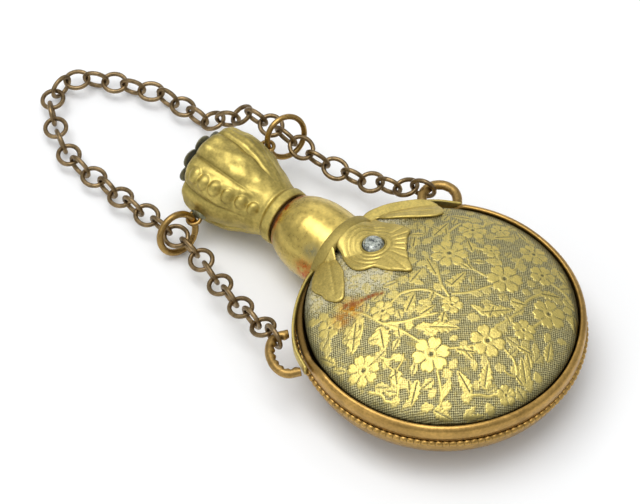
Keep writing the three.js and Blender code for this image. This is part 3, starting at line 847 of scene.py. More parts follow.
def neck_shape():
    """The barrel-shaped sleeve round the neck, cut to meet the body, with its rolled lip."""
    steps, rows = 192, 64
    turn = full_turn(steps)
    bulge = np.array([[17.0, 5.66], [19.5, 5.74], [21.5, 5.78], [23.4, 5.72], [24.8, 5.48], [25.9, 5.15],
                      [26.7, 4.8], [LIP_END - 0.7, 4.56], [LIP_END - 0.45, 4.42], [LIP_END - 0.2, 4.4],
                      [LIP_END, 4.2]])
    share = np.linspace(0, 1, rows)[:, None]
    x_root = NECK_RADIUS * np.cos(turn)
    z_root = AXIS_HEIGHT + NECK_RADIUS * np.sin(turn)
    start = np.sqrt(NECK_ROOT ** 2 - x_root ** 2) - 0.8 * smooth(8.5, 12.5, z_root)
    y = start + (LIP_END - start) * share
    r = np.interp(y.ravel(), bulge[:, 0], bulge[:, 1]).reshape(y.shape)
    for _ in range(3):
        r[1:-1] = (r[:-2] + 2 * r[1:-1] + r[2:]) / 4
    outside = np.stack([r * np.cos(turn), y, AXIS_HEIGHT + r * np.sin(turn)], -1)
    swell = 0.06 * waviness(outside, 8, 21)[..., None] * smooth(0, 0.1, 1 - share)[..., None]
    outside = outside + swell * (outside - [0, 0, AXIS_HEIGHT]) * [1, 0, 1] / NECK_RADIUS
    bore_x, bore_z = NECK_BORE * np.cos(turn), AXIS_HEIGHT + NECK_BORE * np.sin(turn)
    inside = np.stack([np.stack([bore_x, 0 * turn + end, bore_z], -1) for end in (LIP_END, NECK_BORE_START)])
    grid = np.vstack([outside, inside])
    flat = outside.reshape(-1, 3)
    spare = np.zeros(inside.size // 3)
    copper = np.minimum(1.6 * near(flat, (-5.3, 19.6, 7.2), 3.2), 1)
    copper = np.maximum(copper, smooth(LIP_END - 0.75, LIP_END - 0.5, flat[:, 1]))
    marks = {
        "copper": np.concatenate([copper, spare + 1]),
        # Painted shade on the neck's left side
        "neck_left_shade": np.concatenate([0.4 * smooth(-1.5, -5.2, flat[:, 0]), spare]),
        "verdigris": np.concatenate([near(flat, (-4.5, 19.9, 10.7), 1.9), spare]),
    }
    return grid.reshape(-1, 3), quads(rows + 2, steps, wrap_columns=True), marks


# ---------------------------------------------------------------- collar

PLAQUE = [
    (-1.9, 17.3), (-3.0, 15.6), (-4.0, 13.6), (-4.35, 12.2), (-3.9, 11.0), (-2.7, 10.1),
    (-2.45, 9.5), (-2.2, 8.4), (-1.3, 6.7), (-0.15, 5.35), (1.1, 6.9), (2.3, 8.3),
    (3.5, 9.3), (4.7, 10.2), (6.0, 10.8), (6.2, 12.2), (5.9, 13.8), (5.5, 15.6),
    (5.6, 17.3), (2.0, 17.35),
]
LEFT_LEAF = [
    (-2.7, 17.6), (-3.8, 15.8), (-4.7, 14.1), (-5.3, 13.1), (-6.0, 12.45), (-6.6, 11.8),
    (-7.6, 10.9), (-8.9, 9.95), (-9.8, 10.4), (-10.1, 12.0), (-9.75, 13.3), (-9.7, 14.4),
    (-9.1, 15.6), (-7.2, 16.9), (-4.8, 17.7),
]
RIGHT_LEAF = [
    (5.0, 17.4), (6.3, 17.0), (6.6, 16.0), (7.3, 14.8), (8.3, 13.4), (9.5, 11.8),
    (10.9, 10.5), (12.3, 10.2), (13.5, 11.3), (13.9, 12.9), (13.3, 14.6), (11.6, 16.2),
    (9.6, 17.6), (7.9, 18.4), (6.2, 18.9), (4.6, 18.6),
]


def sheet_height(x, y):
    """Height of the collar's underside: on the dome, and rising to the neck's hoop."""
    lying = np.maximum(dome_height(np.hypot(x, y)) + 0.12, BEZEL_TOP + 0.06)
    neck = AXIS_HEIGHT + np.sqrt(np.maximum(HOOP_RADIUS ** 2 - x ** 2, 0.5))
    climb = smooth(HOOP_START - 6.3, HOOP_START - 1.3, y)
    return lying + np.maximum(neck - lying, 0) * climb


def filled(outline, spacing, holes=()):
    """Flat triangles inside an outline, with inner points a given way apart."""
    edges, points = [], []
    for loop in (outline, *holes):
        start = len(points)
        points += [Vector(p) for p in loop]
        edges += [(start + i, start + (i + 1) % len(loop)) for i in range(len(loop))]
    loop = np.asarray(outline)
    xs = np.arange(loop[:, 0].min(), loop[:, 0].max(), spacing)
    ys = np.arange(loop[:, 1].min(), loop[:, 1].max(), spacing)
    gx, gy = (g.ravel() for g in np.meshgrid(xs, ys))
    keep = inside_loop(gx, gy, loop, spacing * 0.6)
    for hole in holes:
        keep &= ~inside_loop(gx, gy, np.asarray(hole), -spacing * 0.6)
    points += [Vector(p) for p in zip(gx[keep], gy[keep])]
    made, _, faces, *_ = geometry.delaunay_2d_cdt(points, edges, [], 1, 1e-5)
    flat = np.array([(p.x, p.y) for p in made])
    centres = np.array([flat[list(f)].mean(0) for f in faces])
    for hole in holes:
        gone = inside_loop(centres[:, 0], centres[:, 1], np.asarray(hole), 0)
        faces = [f for f, g in zip(faces, gone) if not g]
        centres = centres[~gone]
    return flat, [list(f) for f in faces]


def inside_loop(x, y, loop, margin):
    """True for points inside a loop and at least margin from it; a negative margin grows the loop."""
    inside = np.zeros(len(x), bool)
    nearest = np.full(len(x), 1e9)
    for (ax, ay), (bx, by) in zip(loop, np.roll(loop, -1, 0)):
        crossing = (ay > y) != (by > y)
        with np.errstate(divide="ignore", invalid="ignore"):
            inside ^= crossing & (x < (bx - ax) * (y - ay) / (by - ay) + ax)
        dx, dy = bx - ax, by - ay
        t = np.clip(((x - ax) * dx + (y - ay) * dy) / (dx * dx + dy * dy + 1e-12), 0, 1)
        nearest = np.minimum(nearest, np.hypot(x - ax - t * dx, y - ay - t * dy))
    return (inside & (nearest > margin)) | ((margin < 0) & (nearest < -margin))


def edge_distance(flat, loops):
    """Distance from each point to the nearest of the loops."""
    nearest = np.full(len(flat), 1e9)
    for loop in loops:
        loop = np.asarray(loop)
        for a, b in zip(loop, np.roll(loop, -1, 0)):
            d = b - a
            t = np.clip((flat - a) @ d / (d @ d + 1e-12), 0, 1)[:, None]
            nearest = np.minimum(nearest, np.linalg.norm(flat - a - t * d, axis=1))
    return nearest


def engraved(flat, sizes):
    """Depth of the lines cut in the collar: rings round the stone, a fan of veins and the leaves' ribs."""
    x, y = flat[:, 0], flat[:, 1]
    gx, gy = GEM_PLACE[:2]
    r = np.hypot(x - gx, y - gy)
    turn = np.degrees(np.arctan2(y - gy, x - gx))
    wide = 0.24
    lines = smooth(wide, 0.0, np.abs(r - 2.35)) * 0.8
    for ring, gap in ((3.05, 40), (3.8, 60)):
        open_side = smooth(gap, gap + 25, np.abs(turn + 65))
        lines = np.maximum(lines, smooth(wide, 0.0, np.abs(r - ring)) * open_side)
    step = 15
    off_vein = np.abs(((turn + 70) / step + 0.5) % 1 - 0.5) * r * math.radians(step)
    fan = smooth(wide, 0.0, off_vein) * smooth(2.6, 3.4, r)
    lines = np.maximum(lines, fan * smooth(62, 50, np.abs(turn + 62)) * smooth(9.0, 6.5, r))
    for base, tip in (((-4.4, 16.6), (-9.0, 11.4)), ((8.0, 15.8), (11.9, 11.6))):
        base, tip = np.array(base), np.array(tip)
        d = tip - base
        t = (flat - base) @ d / (d @ d)
        away = np.linalg.norm(flat - base - np.clip(t, 0, 1)[:, None] * d, axis=1)
        lines = np.maximum(lines, smooth(wide, 0.0, away) * 0.8)
    return lines * sizes.engraving / MM


def sheet_piece(outline, sizes, holes=()):
    """One part of the collar, bent over the dome with a rounded edge."""
    smooth_outline = resample(outline, 22 * len(outline) // 2, closed=True)
    flat, faces = filled(smooth_outline, 0.17, holes)
    edge = edge_distance(flat, [smooth_outline, *holes])
    rounding = 0.14 * (1 - np.sqrt(np.clip(edge / 0.22, 0, 1)))
    base = sheet_height(flat[:, 0], flat[:, 1])
    cut = engraved(flat, sizes)
    hand = 0.05 * waviness(np.column_stack([flat, 0 * base]), 4, 31)
    top = np.column_stack([flat, base + COLLAR_SHEET - rounding - cut + hand])
    bottom = np.column_stack([flat, base])
    count = len(flat)
    border = outer_edges(faces)
    walls = [[a, b, count + b, count + a] for a, b in border]
    under = [[count + c for c in face[::-1]] for face in faces]
    # Painted shade: the mark is low in the engraved lines and along the sheet's edges, so the metal is
    # painted brown there
    cuts = np.clip(1 - cut / (sizes.engraving / MM + 1e-9), 0, 1)
    height = np.concatenate([cuts * smooth(-0.02, 0.25, edge + 0.1), np.zeros(count)])
    return np.vstack([top, bottom]), faces + walls + under, height


def outer_edges(faces):
    """Edges that only one face has, turned so that a wall hung from them faces out."""
    owned = {(a, b) for face in faces for a, b in zip(face, face[1:] + face[:1])}
    return [(b, a) for a, b in owned if (b, a) not in owned]


def hoop_shape():
    """The narrow band that stands up along the neck, over its upper half."""
    turn = np.radians(np.linspace(-2, 182, 120))
    profile = np.array([[HOOP_START - 0.5, 6.0], [HOOP_START - 0.2, 6.38], [HOOP_START + 0.1, 6.46],
                        [HOOP_END - 0.15, 6.4], [HOOP_END, 6.3], [HOOP_END, 5.85], [HOOP_START - 0.5, 5.7]])
    y, r = profile.T
    grid = np.stack([np.outer(np.cos(turn), r), np.broadcast_to(y, (len(turn), len(y))),
                     AXIS_HEIGHT + np.outer(np.sin(turn), r)], -1)
    return grid.reshape(-1, 3), tube(len(turn), len(profile))


def strap_shape(points, bottom, top):
    """A side strap: the collar's sheet standing on edge along the body, bright on its outer side and painted
    dark with shade on its inner side.
    """
    path = resample(points, STRAP_STEPS)
    path = np.column_stack([path, np.full(STRAP_STEPS, (bottom + top) / 2)])
    half, thin, bevel = (top - bottom) / 2, COLLAR_SHEET / 2, 0.08
    section = np.array([
        [-thin, -half + bevel], [-thin + bevel, -half], [thin - bevel, -half], [thin, -half + bevel],
        [thin, half - bevel], [thin - bevel, half], [-thin + bevel, half], [-thin, half - bevel],
    ])
    shape, faces = swept(path, section)
    outward = np.hypot(shape[:, 0], shape[:, 1]) - np.repeat(np.hypot(path[:, 0], path[:, 1]), len(section))
    # Painted shade: the inner side, towards the body, is marked low
    return shape, faces, {"high": 0.55 * (outward > 0)}


def polar(angle, radius):
    """Place at an angle in degrees and a distance from the flask's middle."""
    return (radius * math.cos(math.radians(angle)), radius * math.sin(math.radians(angle)))


def gem_shape():
    """A round brilliant's crown: table, two rows of facets and a narrow girdle."""
    rows = [(1.0, 0.0, 0.0), (1.5, 0.35, 0.0), (1.5, 0.5, 0.0), (1.2, 0.85, 11.25), (0.82, 1.05, 0.0)]
    sides = 16
    points = []
    for radius, height, offset in rows:
        turn = full_turn(sides) + math.radians(offset)
        points.append(np.column_stack([radius * np.cos(turn), radius * np.sin(turn), np.full(sides, height)]))
    points = np.vstack(points) + [GEM_PLACE[0], GEM_PLACE[1], low("rhinestone")[2] - 0.2]
    return points, tube(len(rows), sides)


def gem_cup_shape():
    """The rolled edge of the hole that grips the stone."""
    turn = full_turn(64)
    x, y = GEM_PLACE[0] + GEM_CUP_RADIUS * np.cos(turn), GEM_PLACE[1] + GEM_CUP_RADIUS * np.sin(turn)
    path = np.column_stack([x, y, sheet_height(x, y) + COLLAR_SHEET - GEM_CUP_SINK])
    return swept(path, round_section(0.17, 10), wrap=True)


LUGS = {
    "lug_left": {"angle": 147.0, "along": 3.2, "out": 2.0, "teeth": 0.26},
    "lug_right": {"angle": 40.6, "along": 2.5, "out": 2.6, "teeth": 0.03},
}


def lug_shape(angle, along, out, teeth):
    """A half-round loop of heavy wire whose inner side is ragged from the file."""
    root = STRAP_RADIUS + COLLAR_SHEET + LUG_GAP
    turn = np.linspace(0, np.pi, 72)
    foot = STRAP_RADIUS + 0.1
    flat = np.column_stack([root + out * np.sin(turn), along * np.cos(turn)])
    flat = np.vstack([[foot, along], flat, [foot, -along]])
    spin = np.array([[math.cos(math.radians(angle)), math.sin(math.radians(angle))],
                     [-math.sin(math.radians(angle)), math.cos(math.radians(angle))]])
    path = np.column_stack([resample(flat, 96) @ spin, np.full(96, LUG_HEIGHT)])
    around = full_turn(16)
    tooth = 0.5 + 0.5 * np.cos(np.linspace(0, 2 * np.pi * 9, 96))
    inner = np.clip(-np.cos(around), 0, 1)
    radius = LUG_WIRE - teeth * tooth[:, None] * inner
    sections = np.stack([radius * np.cos(around), 0.92 * radius * np.sin(around)], -1)
    return swept(path, sections)


# ---------------------------------------------------------------- stopper

# Degrees round the neck from +X towards +Z, and millimetres along it
PANEL_STEP = 45.0
PEARL_ROW = 143.0
PEARL_FIRST = 31.7
PEARL_SPACING = 1.9
PEARL_COUNT = 6


def stopper_shape(sizes):
    """The stamped bulb: eight panels that swell towards the crown, plain, fluted or with pearls."""
    outside = resample([
        (SHELL_START, 4.05), (SHELL_START + 0.2, 4.3), (29.5, 4.36), (29.9, 4.2), (30.3, 4.12), (31.2, 4.36),
        (32.9, 5.05), (35.0, 5.85), (37.2, 6.5), (39.2, 6.88), (40.8, 6.88), (42.1, 6.55), (43.1, 5.95),
        (43.7, 5.2), (SHELL_END, 4.3),
    ], 150)
    steps = 360
    turn = full_turn(steps)
    y = outside[:, :1] + 0 * turn
    r = outside[:, 1:] + 0 * turn
    grow = smooth(31.0, 38.0, y) * smooth(44.9, 43.0, y)
    panel = (np.degrees(turn) - PEARL_ROW) / PANEL_STEP
    across = np.abs((panel + 0.5) % 1 - 0.5) * 2
    kind = np.round(panel) % 4
    swell = 1 - across ** 2.6
    fluted = (kind == 2) * (0.5 + 0.5 * np.cos(np.pi * across * 5)) * smooth(1.0, 0.85, across)
    crease = smooth(0.16, 0.0, 1 - across)
    pearls = np.zeros_like(r)
    off_row = ((panel + 2) % 4 - 2) * np.radians(PANEL_STEP) * r
    for k in range(PEARL_COUNT):
        pearl_y = PEARL_FIRST + PEARL_SPACING * k + 0.12 * math.sin(5 * k)
        size = 0.84 + 0.04 * k
        ball = 1 - ((y - pearl_y) / size) ** 2 - ((off_row + 0.1 * math.sin(3 * k)) / size / 1.3) ** 2
        pearls = np.maximum(pearls, np.clip(ball, 0, 1) ** 0.8)
    rib = sizes.rib_height / MM
    lift = rib * grow * (1.5 * swell - 0.35 * crease + 0.35 * fluted - 1.1)
    lift = lift + sizes.pearl_height / MM * pearls
    lift = lift + 0.35 * smooth(41.2, 43.2, y) * smooth(44.3, 43.4, y) * swell
    start = np.stack([np.cos(turn) * r, y, np.sin(turn) * r], -1)
    lift = lift + (0.3 * waviness(start, 5, 77) + 0.16 * waviness(start, 2.0, 12)) * smooth(30.5, 33, y)
    lift = lift - 0.12 * smooth(0.5, 0.0, np.abs(y - 30.25))
    r = r + lift
    # Painted shade: the mark is low in the creases and between the panels and pearls, high on the swells and
    # pearls
    height = 0.35 + (0.3 * swell + 0.25 * fluted - 0.3 * crease) * grow + 0.6 * pearls + 0.2 * (1 - grow)
    height = np.clip(height, 0, 1)
    inside = np.array([
        [SHELL_END, 4.0], [42.6, 5.0], [40.5, 5.5], [37.0, 5.1], [33.0, 3.9], [SHELL_START, 3.7]])
    inner_y = inside[:, :1] + 0 * turn
    inner_r = inside[:, 1:] + 0 * turn
    y, r = np.vstack([y, inner_y]), np.vstack([r, inner_r])
    points = np.stack([r * np.cos(turn), y, AXIS_HEIGHT + r * np.sin(turn)], -1).reshape(-1, 3)
    marks = {"high": np.concatenate([height.ravel(), np.zeros(inner_y.size)])}
    return points, quads(len(y), steps, wrap_rows=True, wrap_columns=True), marks


def crown_shape():
    """The dark lobed cap that closes the crown, like a ring of small petals."""
    steps, rows = 240, 24
    turn = full_turn(steps)
    share = np.linspace(0, 1, rows)[:, None]
    lobes = np.abs(np.cos(turn * 4)) ** 0.7
    rim = 3.9 + 0.75 * lobes
    across = np.sin(share * np.pi) ** 0.6 * rim
    full = np.sin(share * np.pi)
    y = CAP_START + 0.02 + 0.95 * share + 0.25 * lobes * full - 0.3 * (1 - full)
    y = np.clip(y, CAP_START, None)
    points = np.stack([across * np.cos(turn), y, AXIS_HEIGHT + across * np.sin(turn)], -1)
    return points.reshape(-1, 3), quads(rows, steps, wrap_columns=True)


def ring_frame(node):
    """Middle and axes of a ring-shaped CAD node: two in its plane and one through its hole."""
    points = np.array([v.co for v in frame["nodes"][node].data.vertices]) / MM
    centre = points.mean(0)
    _, _, axes = np.linalg.svd(points - centre)
    return centre, axes


def wire_ring(node, radius, wire, steps=48, sides=12, uneven=0.02, seed=0, along=None):
    """A closed wire ring where a CAD ring lies, a little out of true, and longer along the chain if given."""
    centre, (first, second, through) = ring_frame(node)
    turn = full_turn(steps)
    around = full_turn(sides)
    dice = np.random.default_rng(seed)
    oval = 1 + uneven * np.sin(2 * turn + dice.uniform(0, 6.28))
    seam = 1 - 0.12 * np.exp(-((turn - np.pi) / 0.07) ** 2)
    if along is not None:
        first = along - (along @ through) * through
        first /= np.linalg.norm(first)
        second = np.cross(through, first)
        oval = oval * (1 - 0.07 + 0.07 * np.cos(2 * turn))
    r = radius * oval[:, None] + wire * seam[:, None] * np.cos(around)
    h = wire * seam[:, None] * np.sin(around)
    spokes = np.cos(turn)[:, None] * first + np.sin(turn)[:, None] * second
    points = centre + r[..., None] * spokes[:, None] + h[..., None] * through
    return points.reshape(-1, 3), quads(steps, sides, wrap_rows=True, wrap_columns=True)


# Radius of each ring's middle line and of its wire; the right one is lighter so that it clears the chain
RINGS = {"left": (3.0, 0.5), "right": (3.14, 0.42)}
LINK_RADIUS = 1.8
LINK_WIRE = 0.34
FIRST_LINK_SEED = 100
EYELET_REACH = 7.85
EYELET_RADIUS = 0.95
EYELET_WIRE = 0.3
SOLDER_REACH = 6.55
SOLDER = {"left": {"size": (1.0, 1.5, 1.1), "seed": 4}, "right": {"size": (0.9, 2.0, 1.3), "seed": 5}}
EYELETS = {"left": {"y": 39.8, "angle": 198.0}, "right": {"y": 39.6, "angle": 3.0}}


def eyelet_shape(y, angle):
    """A small wire eye beside the bulb."""
    out = np.array([math.cos(math.radians(angle)), 0, math.sin(math.radians(angle))])
    centre = np.array([0, y, AXIS_HEIGHT]) + EYELET_REACH * out
    steps, sides = 40, 10
    turn = full_turn(steps)[:, None, None]
    around = full_turn(sides)[None, :, None]
    spoke = np.cos(turn) * out + np.sin(turn) * np.array([0, 1, 0])
    through = np.cross(out, [0, 1, 0])
    points = (centre + (EYELET_RADIUS + EYELET_WIRE * np.cos(around)) * spoke
              + EYELET_WIRE * np.sin(around) * through)
    return points.reshape(-1, 3), quads(steps, sides, wrap_rows=True, wrap_columns=True)


def solder_shape(y, angle, size, seed):
    """A lump of solder that holds an eyelet to the bulb."""
    out = np.array([math.cos(math.radians(angle)), 0, math.sin(math.radians(angle))])
    centre = np.array([0, y, AXIS_HEIGHT]) + SOLDER_REACH * out
    rows, columns = 20, 32
    tilt = np.linspace(0.02, np.pi - 0.02, rows)[:, None]
    turn = full_turn(columns)
    ball = np.stack([np.cos(tilt) + 0 * turn, np.sin(tilt) * np.cos(turn), np.sin(tilt) * np.sin(turn)], -1)
    side = np.cross(out, [0, 1, 0])
    points = (ball[..., :1] * out * size[0] + ball[..., 1:2] * np.array([0, 1, 0]) * size[1]
              + ball[..., 2:] * side * size[2])
    points = centre + points * (1 + 0.12 * waviness(ball * 2, 1.5, seed))[..., None]
    return points.reshape(-1, 3), tube(rows, columns)


def plug_shape():
    """The cork plug, tapered, with its shoulder inside the bulb."""
    profile = np.array([[PLUG_TIP, 0.01], [PLUG_TIP, 2.3], [PLUG_TIP + 0.15, 2.45], [PLUG_TIP + 0.5, 2.52],
                        [LIP_END + 0.3, 2.6], [LIP_END + 0.32, 3.25], [PLUG_END, 3.3], [PLUG_END, 0.01]])
    fine = [profile[0]]
    for a, b in zip(profile[:-1], profile[1:]):
        cuts = max(1, int(np.linalg.norm(b - a) / 0.3))
        fine += [a + (b - a) * k / cuts for k in range(1, cuts + 1)]
    return turned(fine, 96, about_neck=True, closed=False)


def liner_shape():
    """The glass bottle inside: a flat round belly with a short neck, thick walled."""
    share = np.linspace(-np.pi / 2, np.pi / 2, 25)
    belly = [np.stack([r * np.cos(share), 7.4 + h * np.sin(share)], 1) for r, h in ((17.2, 6.1), (16.2, 5.1))]
    shapes = [turned(profile, 96, closed=False) for profile in belly]
    tube = [[17.0, 3.6], [VIAL_END - 0.2, 3.6], [VIAL_END, 3.4], [VIAL_END, 3.1], [VIAL_END - 0.2, 2.95],
            [16.4, 2.95]]
    shapes.append(turned(tube, 96, about_neck=True))
    return joined(*shapes)


# ---------------------------------------------------------------- operators

# The view: degrees round from the front, degrees up, and millimetres
VIEW_TARGET = (-0.25, 22.0, 5.0)
VIEW_AZIMUTH = -48.0
VIEW_ELEVATION = 51.0
VIEW_DISTANCE = 340.0
LENS = 135.1
FLOOR_HALF = 1500.0
FLOOR_DROP = 0.13  # the left ring hangs a little below the flask's back
# Each light: name, place from the view's target, width and depth, watts, colour, turned to the target or not
LIGHTS = (
    ("key_overhead", (-60, 55, 420), (250, 400), 1.15, "#FFFFFF", False),
    ("fill_left", (-420, 40, 180), (260, 260), 0.2, "#FCFDFF", True),
    ("rim_right", (330, 260, 240), (200, 200), 0.12, "#FFFFFF", True),
)
ROOM_SIDES = "#A2A3A4"
ROOM_TOP = "#DFDFDF"


class FlaskMaker:
    """What every operator of this add-on shares."""

    bl_options = {"REGISTER", "UNDO"}

    def looks(self, context):
        return context.scene.flask_sizes, context.scene.flask_colours


class FLASK_OT_dome(FlaskMaker, bpy.types.Operator):
    """Front dome with its gilt flowers"""

    bl_idname = "flask.dome"
    bl_label = "Dome"

    def execute(self, context):
        sizes, colours = self.looks(context)
        points, faces, marks = dome_shape(sizes)
        gilded = gilt_on_silver(colours, sizes)
        piece("dome", points, faces, gilded, "flask", "gilt_plate", ["front_plate"], marks)
        return {"FINISHED"}


class FLASK_OT_rim(FlaskMaker, bpy.types.Operator):
    """Bezel band, milled girdle and back shell"""

    bl_idname = "flask.rim"
    bl_label = "Rim and back"

    def execute(self, context):
        sizes, colours = self.looks(context)
        # Rose brass is a copper-rich alloy: pinkish, satin from wear, browner in patches, and painted dark
        # with shade where the band runs behind the left strap
        rose = aged_metal("satin_rose_brass", colours.rose, brown=0.22, roughness=0.34, patch_mm=4.0,
                          grain_mm=0.4, tarnished=0.35, relief="high")
        points, faces, marks = bezel_shape()
        piece("bezel_band", points, faces, rose, "flask", "rose_brass", ["front_bezel"], marks)
        # Milled wire, bright on each bead, with painted shade that leaves it brown in the cuts
        milled = aged_metal("milled_brass_wire", colours.rose, brown=0.3, roughness=0.3, patch_mm=3.0,
                            grain_mm=0.3, tarnished=0.3, relief="high")
        points, faces, marks = girdle_shape(sizes)
        piece("milled_girdle", points, faces, milled, "flask", "yellow_brass", ["rope_girdle"], marks)
        # Spun brass shell, smooth, with soft handling marks
        spun = aged_metal("spun_brass_shell", colours.wire, brown=0.55, roughness=0.32, patch_mm=7.0,
                          grain_mm=0.6, tarnished=0.5)
        piece("back_shell", *back_shape(), spun, "flask", "gilt_plate", ["back_plate"])
        return {"FINISHED"}


class FLASK_OT_neck(FlaskMaker, bpy.types.Operator):
    """Neck sleeve and the glass bottle inside"""

    bl_idname = "flask.neck"
    bl_label = "Neck and liner"

    def execute(self, context):
        _, colours = self.looks(context)
        points, faces, marks = neck_shape()
        sleeve = stained_sleeve(colours)
        piece("neck_barrel", points, faces, sleeve, "flask", "yellow_brass", ["neck_sleeve"], marks)
        piece("glass_liner", *liner_shape(), clear_glass(colours), "flask", "clear_glass", ["glass_vial"])
        return {"FINISHED"}


class FLASK_OT_collar(FlaskMaker, bpy.types.Operator):
    """Engraved collar with its straps, lugs and stone"""

    bl_idname = "flask.collar"
    bl_label = "Collar"

    def execute(self, context):
        sizes, colours = self.looks(context)
        # Rolled sheet, dull from a thin even tarnishing, with painted shade in the engraved lines, along the
        # edges, on the straps' inner sides and on the hoop
        sheet = aged_metal("matte_sheet_brass", colours.sheet, brown=0.5, roughness=0.42, patch_mm=2.6,
                           grain_mm=0.3, tarnished=0.4, relief="high")
        turn = full_turn(48)
        hole = GEM_PLACE[:2] + GEM_HOLE_RADIUS * np.column_stack([np.cos(turn), np.sin(turn)])
        for name, outline, holes in (("collar_plaque", PLAQUE, [hole]), ("collar_leaf_left", LEFT_LEAF, []),
                                     ("collar_leaf_right", RIGHT_LEAF, [])):
            points, faces, height = sheet_piece(outline, sizes, holes)
            stands_for = ["collar"] if name == "collar_plaque" else []
            piece(name, points, faces, sheet, "flask", "yellow_brass", stands_for, {"high": height})
        hoop, faces = hoop_shape()
        # Painted shade: the hoop is marked low all over, so it is painted dark like the shaded band beside
        # the neck
        tarnished = {"high": np.full(len(hoop), 0.05)}
        piece("collar_hoop", hoop, faces, sheet, "flask", "yellow_brass", marks=tarnished)
        left = [polar(108, 19.1), polar(115, 19.4), polar(126, 19.8), polar(138, 20.3), polar(148, 20.6),
                polar(158, 20.5)]
        right = [polar(32, STRAP_RADIUS - 0.1), polar(42, STRAP_RADIUS + 0.1), polar(52, STRAP_RADIUS + 0.1),
                 polar(62, 20.3), polar(71, 19.4)]
        for name, points, bottom, top in (("strap_left", left, 7.9, 9.5), ("strap_right", right, 6.6, 9.1)):
            shape, faces, marks = strap_shape(points, bottom, top)
            piece(name, shape, faces, sheet, "flask", "yellow_brass", marks=marks)
        # Heavy drawn wire, worn to a brown copper tone
        worn = aged_metal("worn_brass_wire", colours.wire, brown=0.4, roughness=0.36, patch_mm=1.6,
                          grain_mm=0.3, tarnished=0.6)
        for name, settings in LUGS.items():
            piece(name + "_loop", *lug_shape(**settings), worn, "flask", "yellow_brass", [name])
        piece("stone", *gem_shape(), paste_stone(colours), "flask", "paste_stone", ["rhinestone"], soft=False)
        cup, faces = gem_cup_shape()
        # The rim round the stone is marked low, so it comes out dark, as a dark ring round the stone
        tarnished = {"high": np.full(len(cup), 0.1)}
        piece("stone_rim", cup, faces, sheet, "flask", "yellow_brass", marks=tarnished)
        return {"FINISHED"}


class FLASK_OT_stopper(FlaskMaker, bpy.types.Operator):
    """Stamped stopper with its crown, eyelets and cork"""

    bl_idname = "flask.stopper"
    bl_label = "Stopper"

    def execute(self, context):
        sizes, colours = self.looks(context)
        # Stamped brass: the ribs and pearls are worn bright, and painted shade deepens the olive brown
        # between them
        stamped = aged_metal("stamped_olive_brass", colours.stamped, brown=0.4, roughness=0.41,
                             patch_mm=2.2, grain_mm=0.4, tarnished=0.6, relief="high")
        points, faces, marks = stopper_shape(sizes)
        piece("stopper_bulb", points, faces, stamped, "stopper", "olive_brass", ["stopper_shell"], marks)
        # Cast pewter: soft, grey and dull
        pewter = aged_metal("dull_cast_pewter", colours.pewter, brown=0.5, roughness=0.55, patch_mm=1.5,
                            grain_mm=0.3, tarnished=0.3)
        piece("crown", *crown_shape(), pewter, "stopper", "pewter", ["crown_cap"])
        # Soft solder, grey-green with age
        solder = aged_metal("old_soft_solder", colours.solder, brown=0.34, roughness=0.45, patch_mm=1.0,
                            grain_mm=0.3, tarnished=0.6)
        # Thin drawn wire, brown from handling
        wire = aged_metal("eyelet_brass_wire", colours.wire, brown=0.4, roughness=0.34, patch_mm=1.2,
                          grain_mm=0.3, tarnished=0.6)
        for side, spot in EYELETS.items():
            piece("eyelet_" + side, *eyelet_shape(**spot), wire, "stopper", "olive_brass")
            lump = solder_shape(**spot, **SOLDER[side])
            piece("solder_" + side, *lump, solder, "stopper", "olive_brass")
        piece("cork", *plug_shape(), cork_bark(colours), "stopper", "cork", ["stopper_plug"])
        return {"FINISHED"}


class FLASK_OT_chain(FlaskMaker, bpy.types.Operator):
    """Chain links and the two rings that they run through"""

    bl_idname = "flask.chain"
    bl_label = "Chain and rings"

    def execute(self, context):
        _, colours = self.looks(context)
        # Round wire drawn from coppery brass, bright where the chain rubs
        ring = aged_metal("drawn_brass_ring", colours.wire, brown=0.42, roughness=0.3, patch_mm=2.0,
                          grain_mm=0.3, tarnished=0.55)
        for k, (side, (radius, wire)) in enumerate(RINGS.items()):
            node = "ring_" + side
            shape = wire_ring(node, radius, wire, 72, 14, 0.02, k)
            piece("wire_" + node, *shape, ring, node, "yellow_brass", [node])
        # Antique bronze: a brown-black skin with lighter metal on the high sides
        bronze = aged_metal("antique_bronze_wire", colours.bronze, brown=0.35, roughness=0.32, patch_mm=1.3,
                            grain_mm=0.25, tarnished=0.75)
        parts_of = frame["record"]["behaviour"]["bodies"]
        bodies = {node: body for body, nodes in parts_of.items() for node in nodes}
        links = sorted(node for node in frame["nodes"] if node.startswith("chain_link_"))
        centres = [ring_frame(node)[0] for node in links]
        for k, node in enumerate(links):
            along = centres[min(k + 1, len(links) - 1)] - centres[max(k - 1, 0)]
            shape = wire_ring(node, LINK_RADIUS, LINK_WIRE, 40, 12, 0.02, FIRST_LINK_SEED + k, along)
            piece(node.replace("chain_link", "link"), *shape, bronze, bodies[node], "dark_bronze", [node])
        return {"FINISHED"}


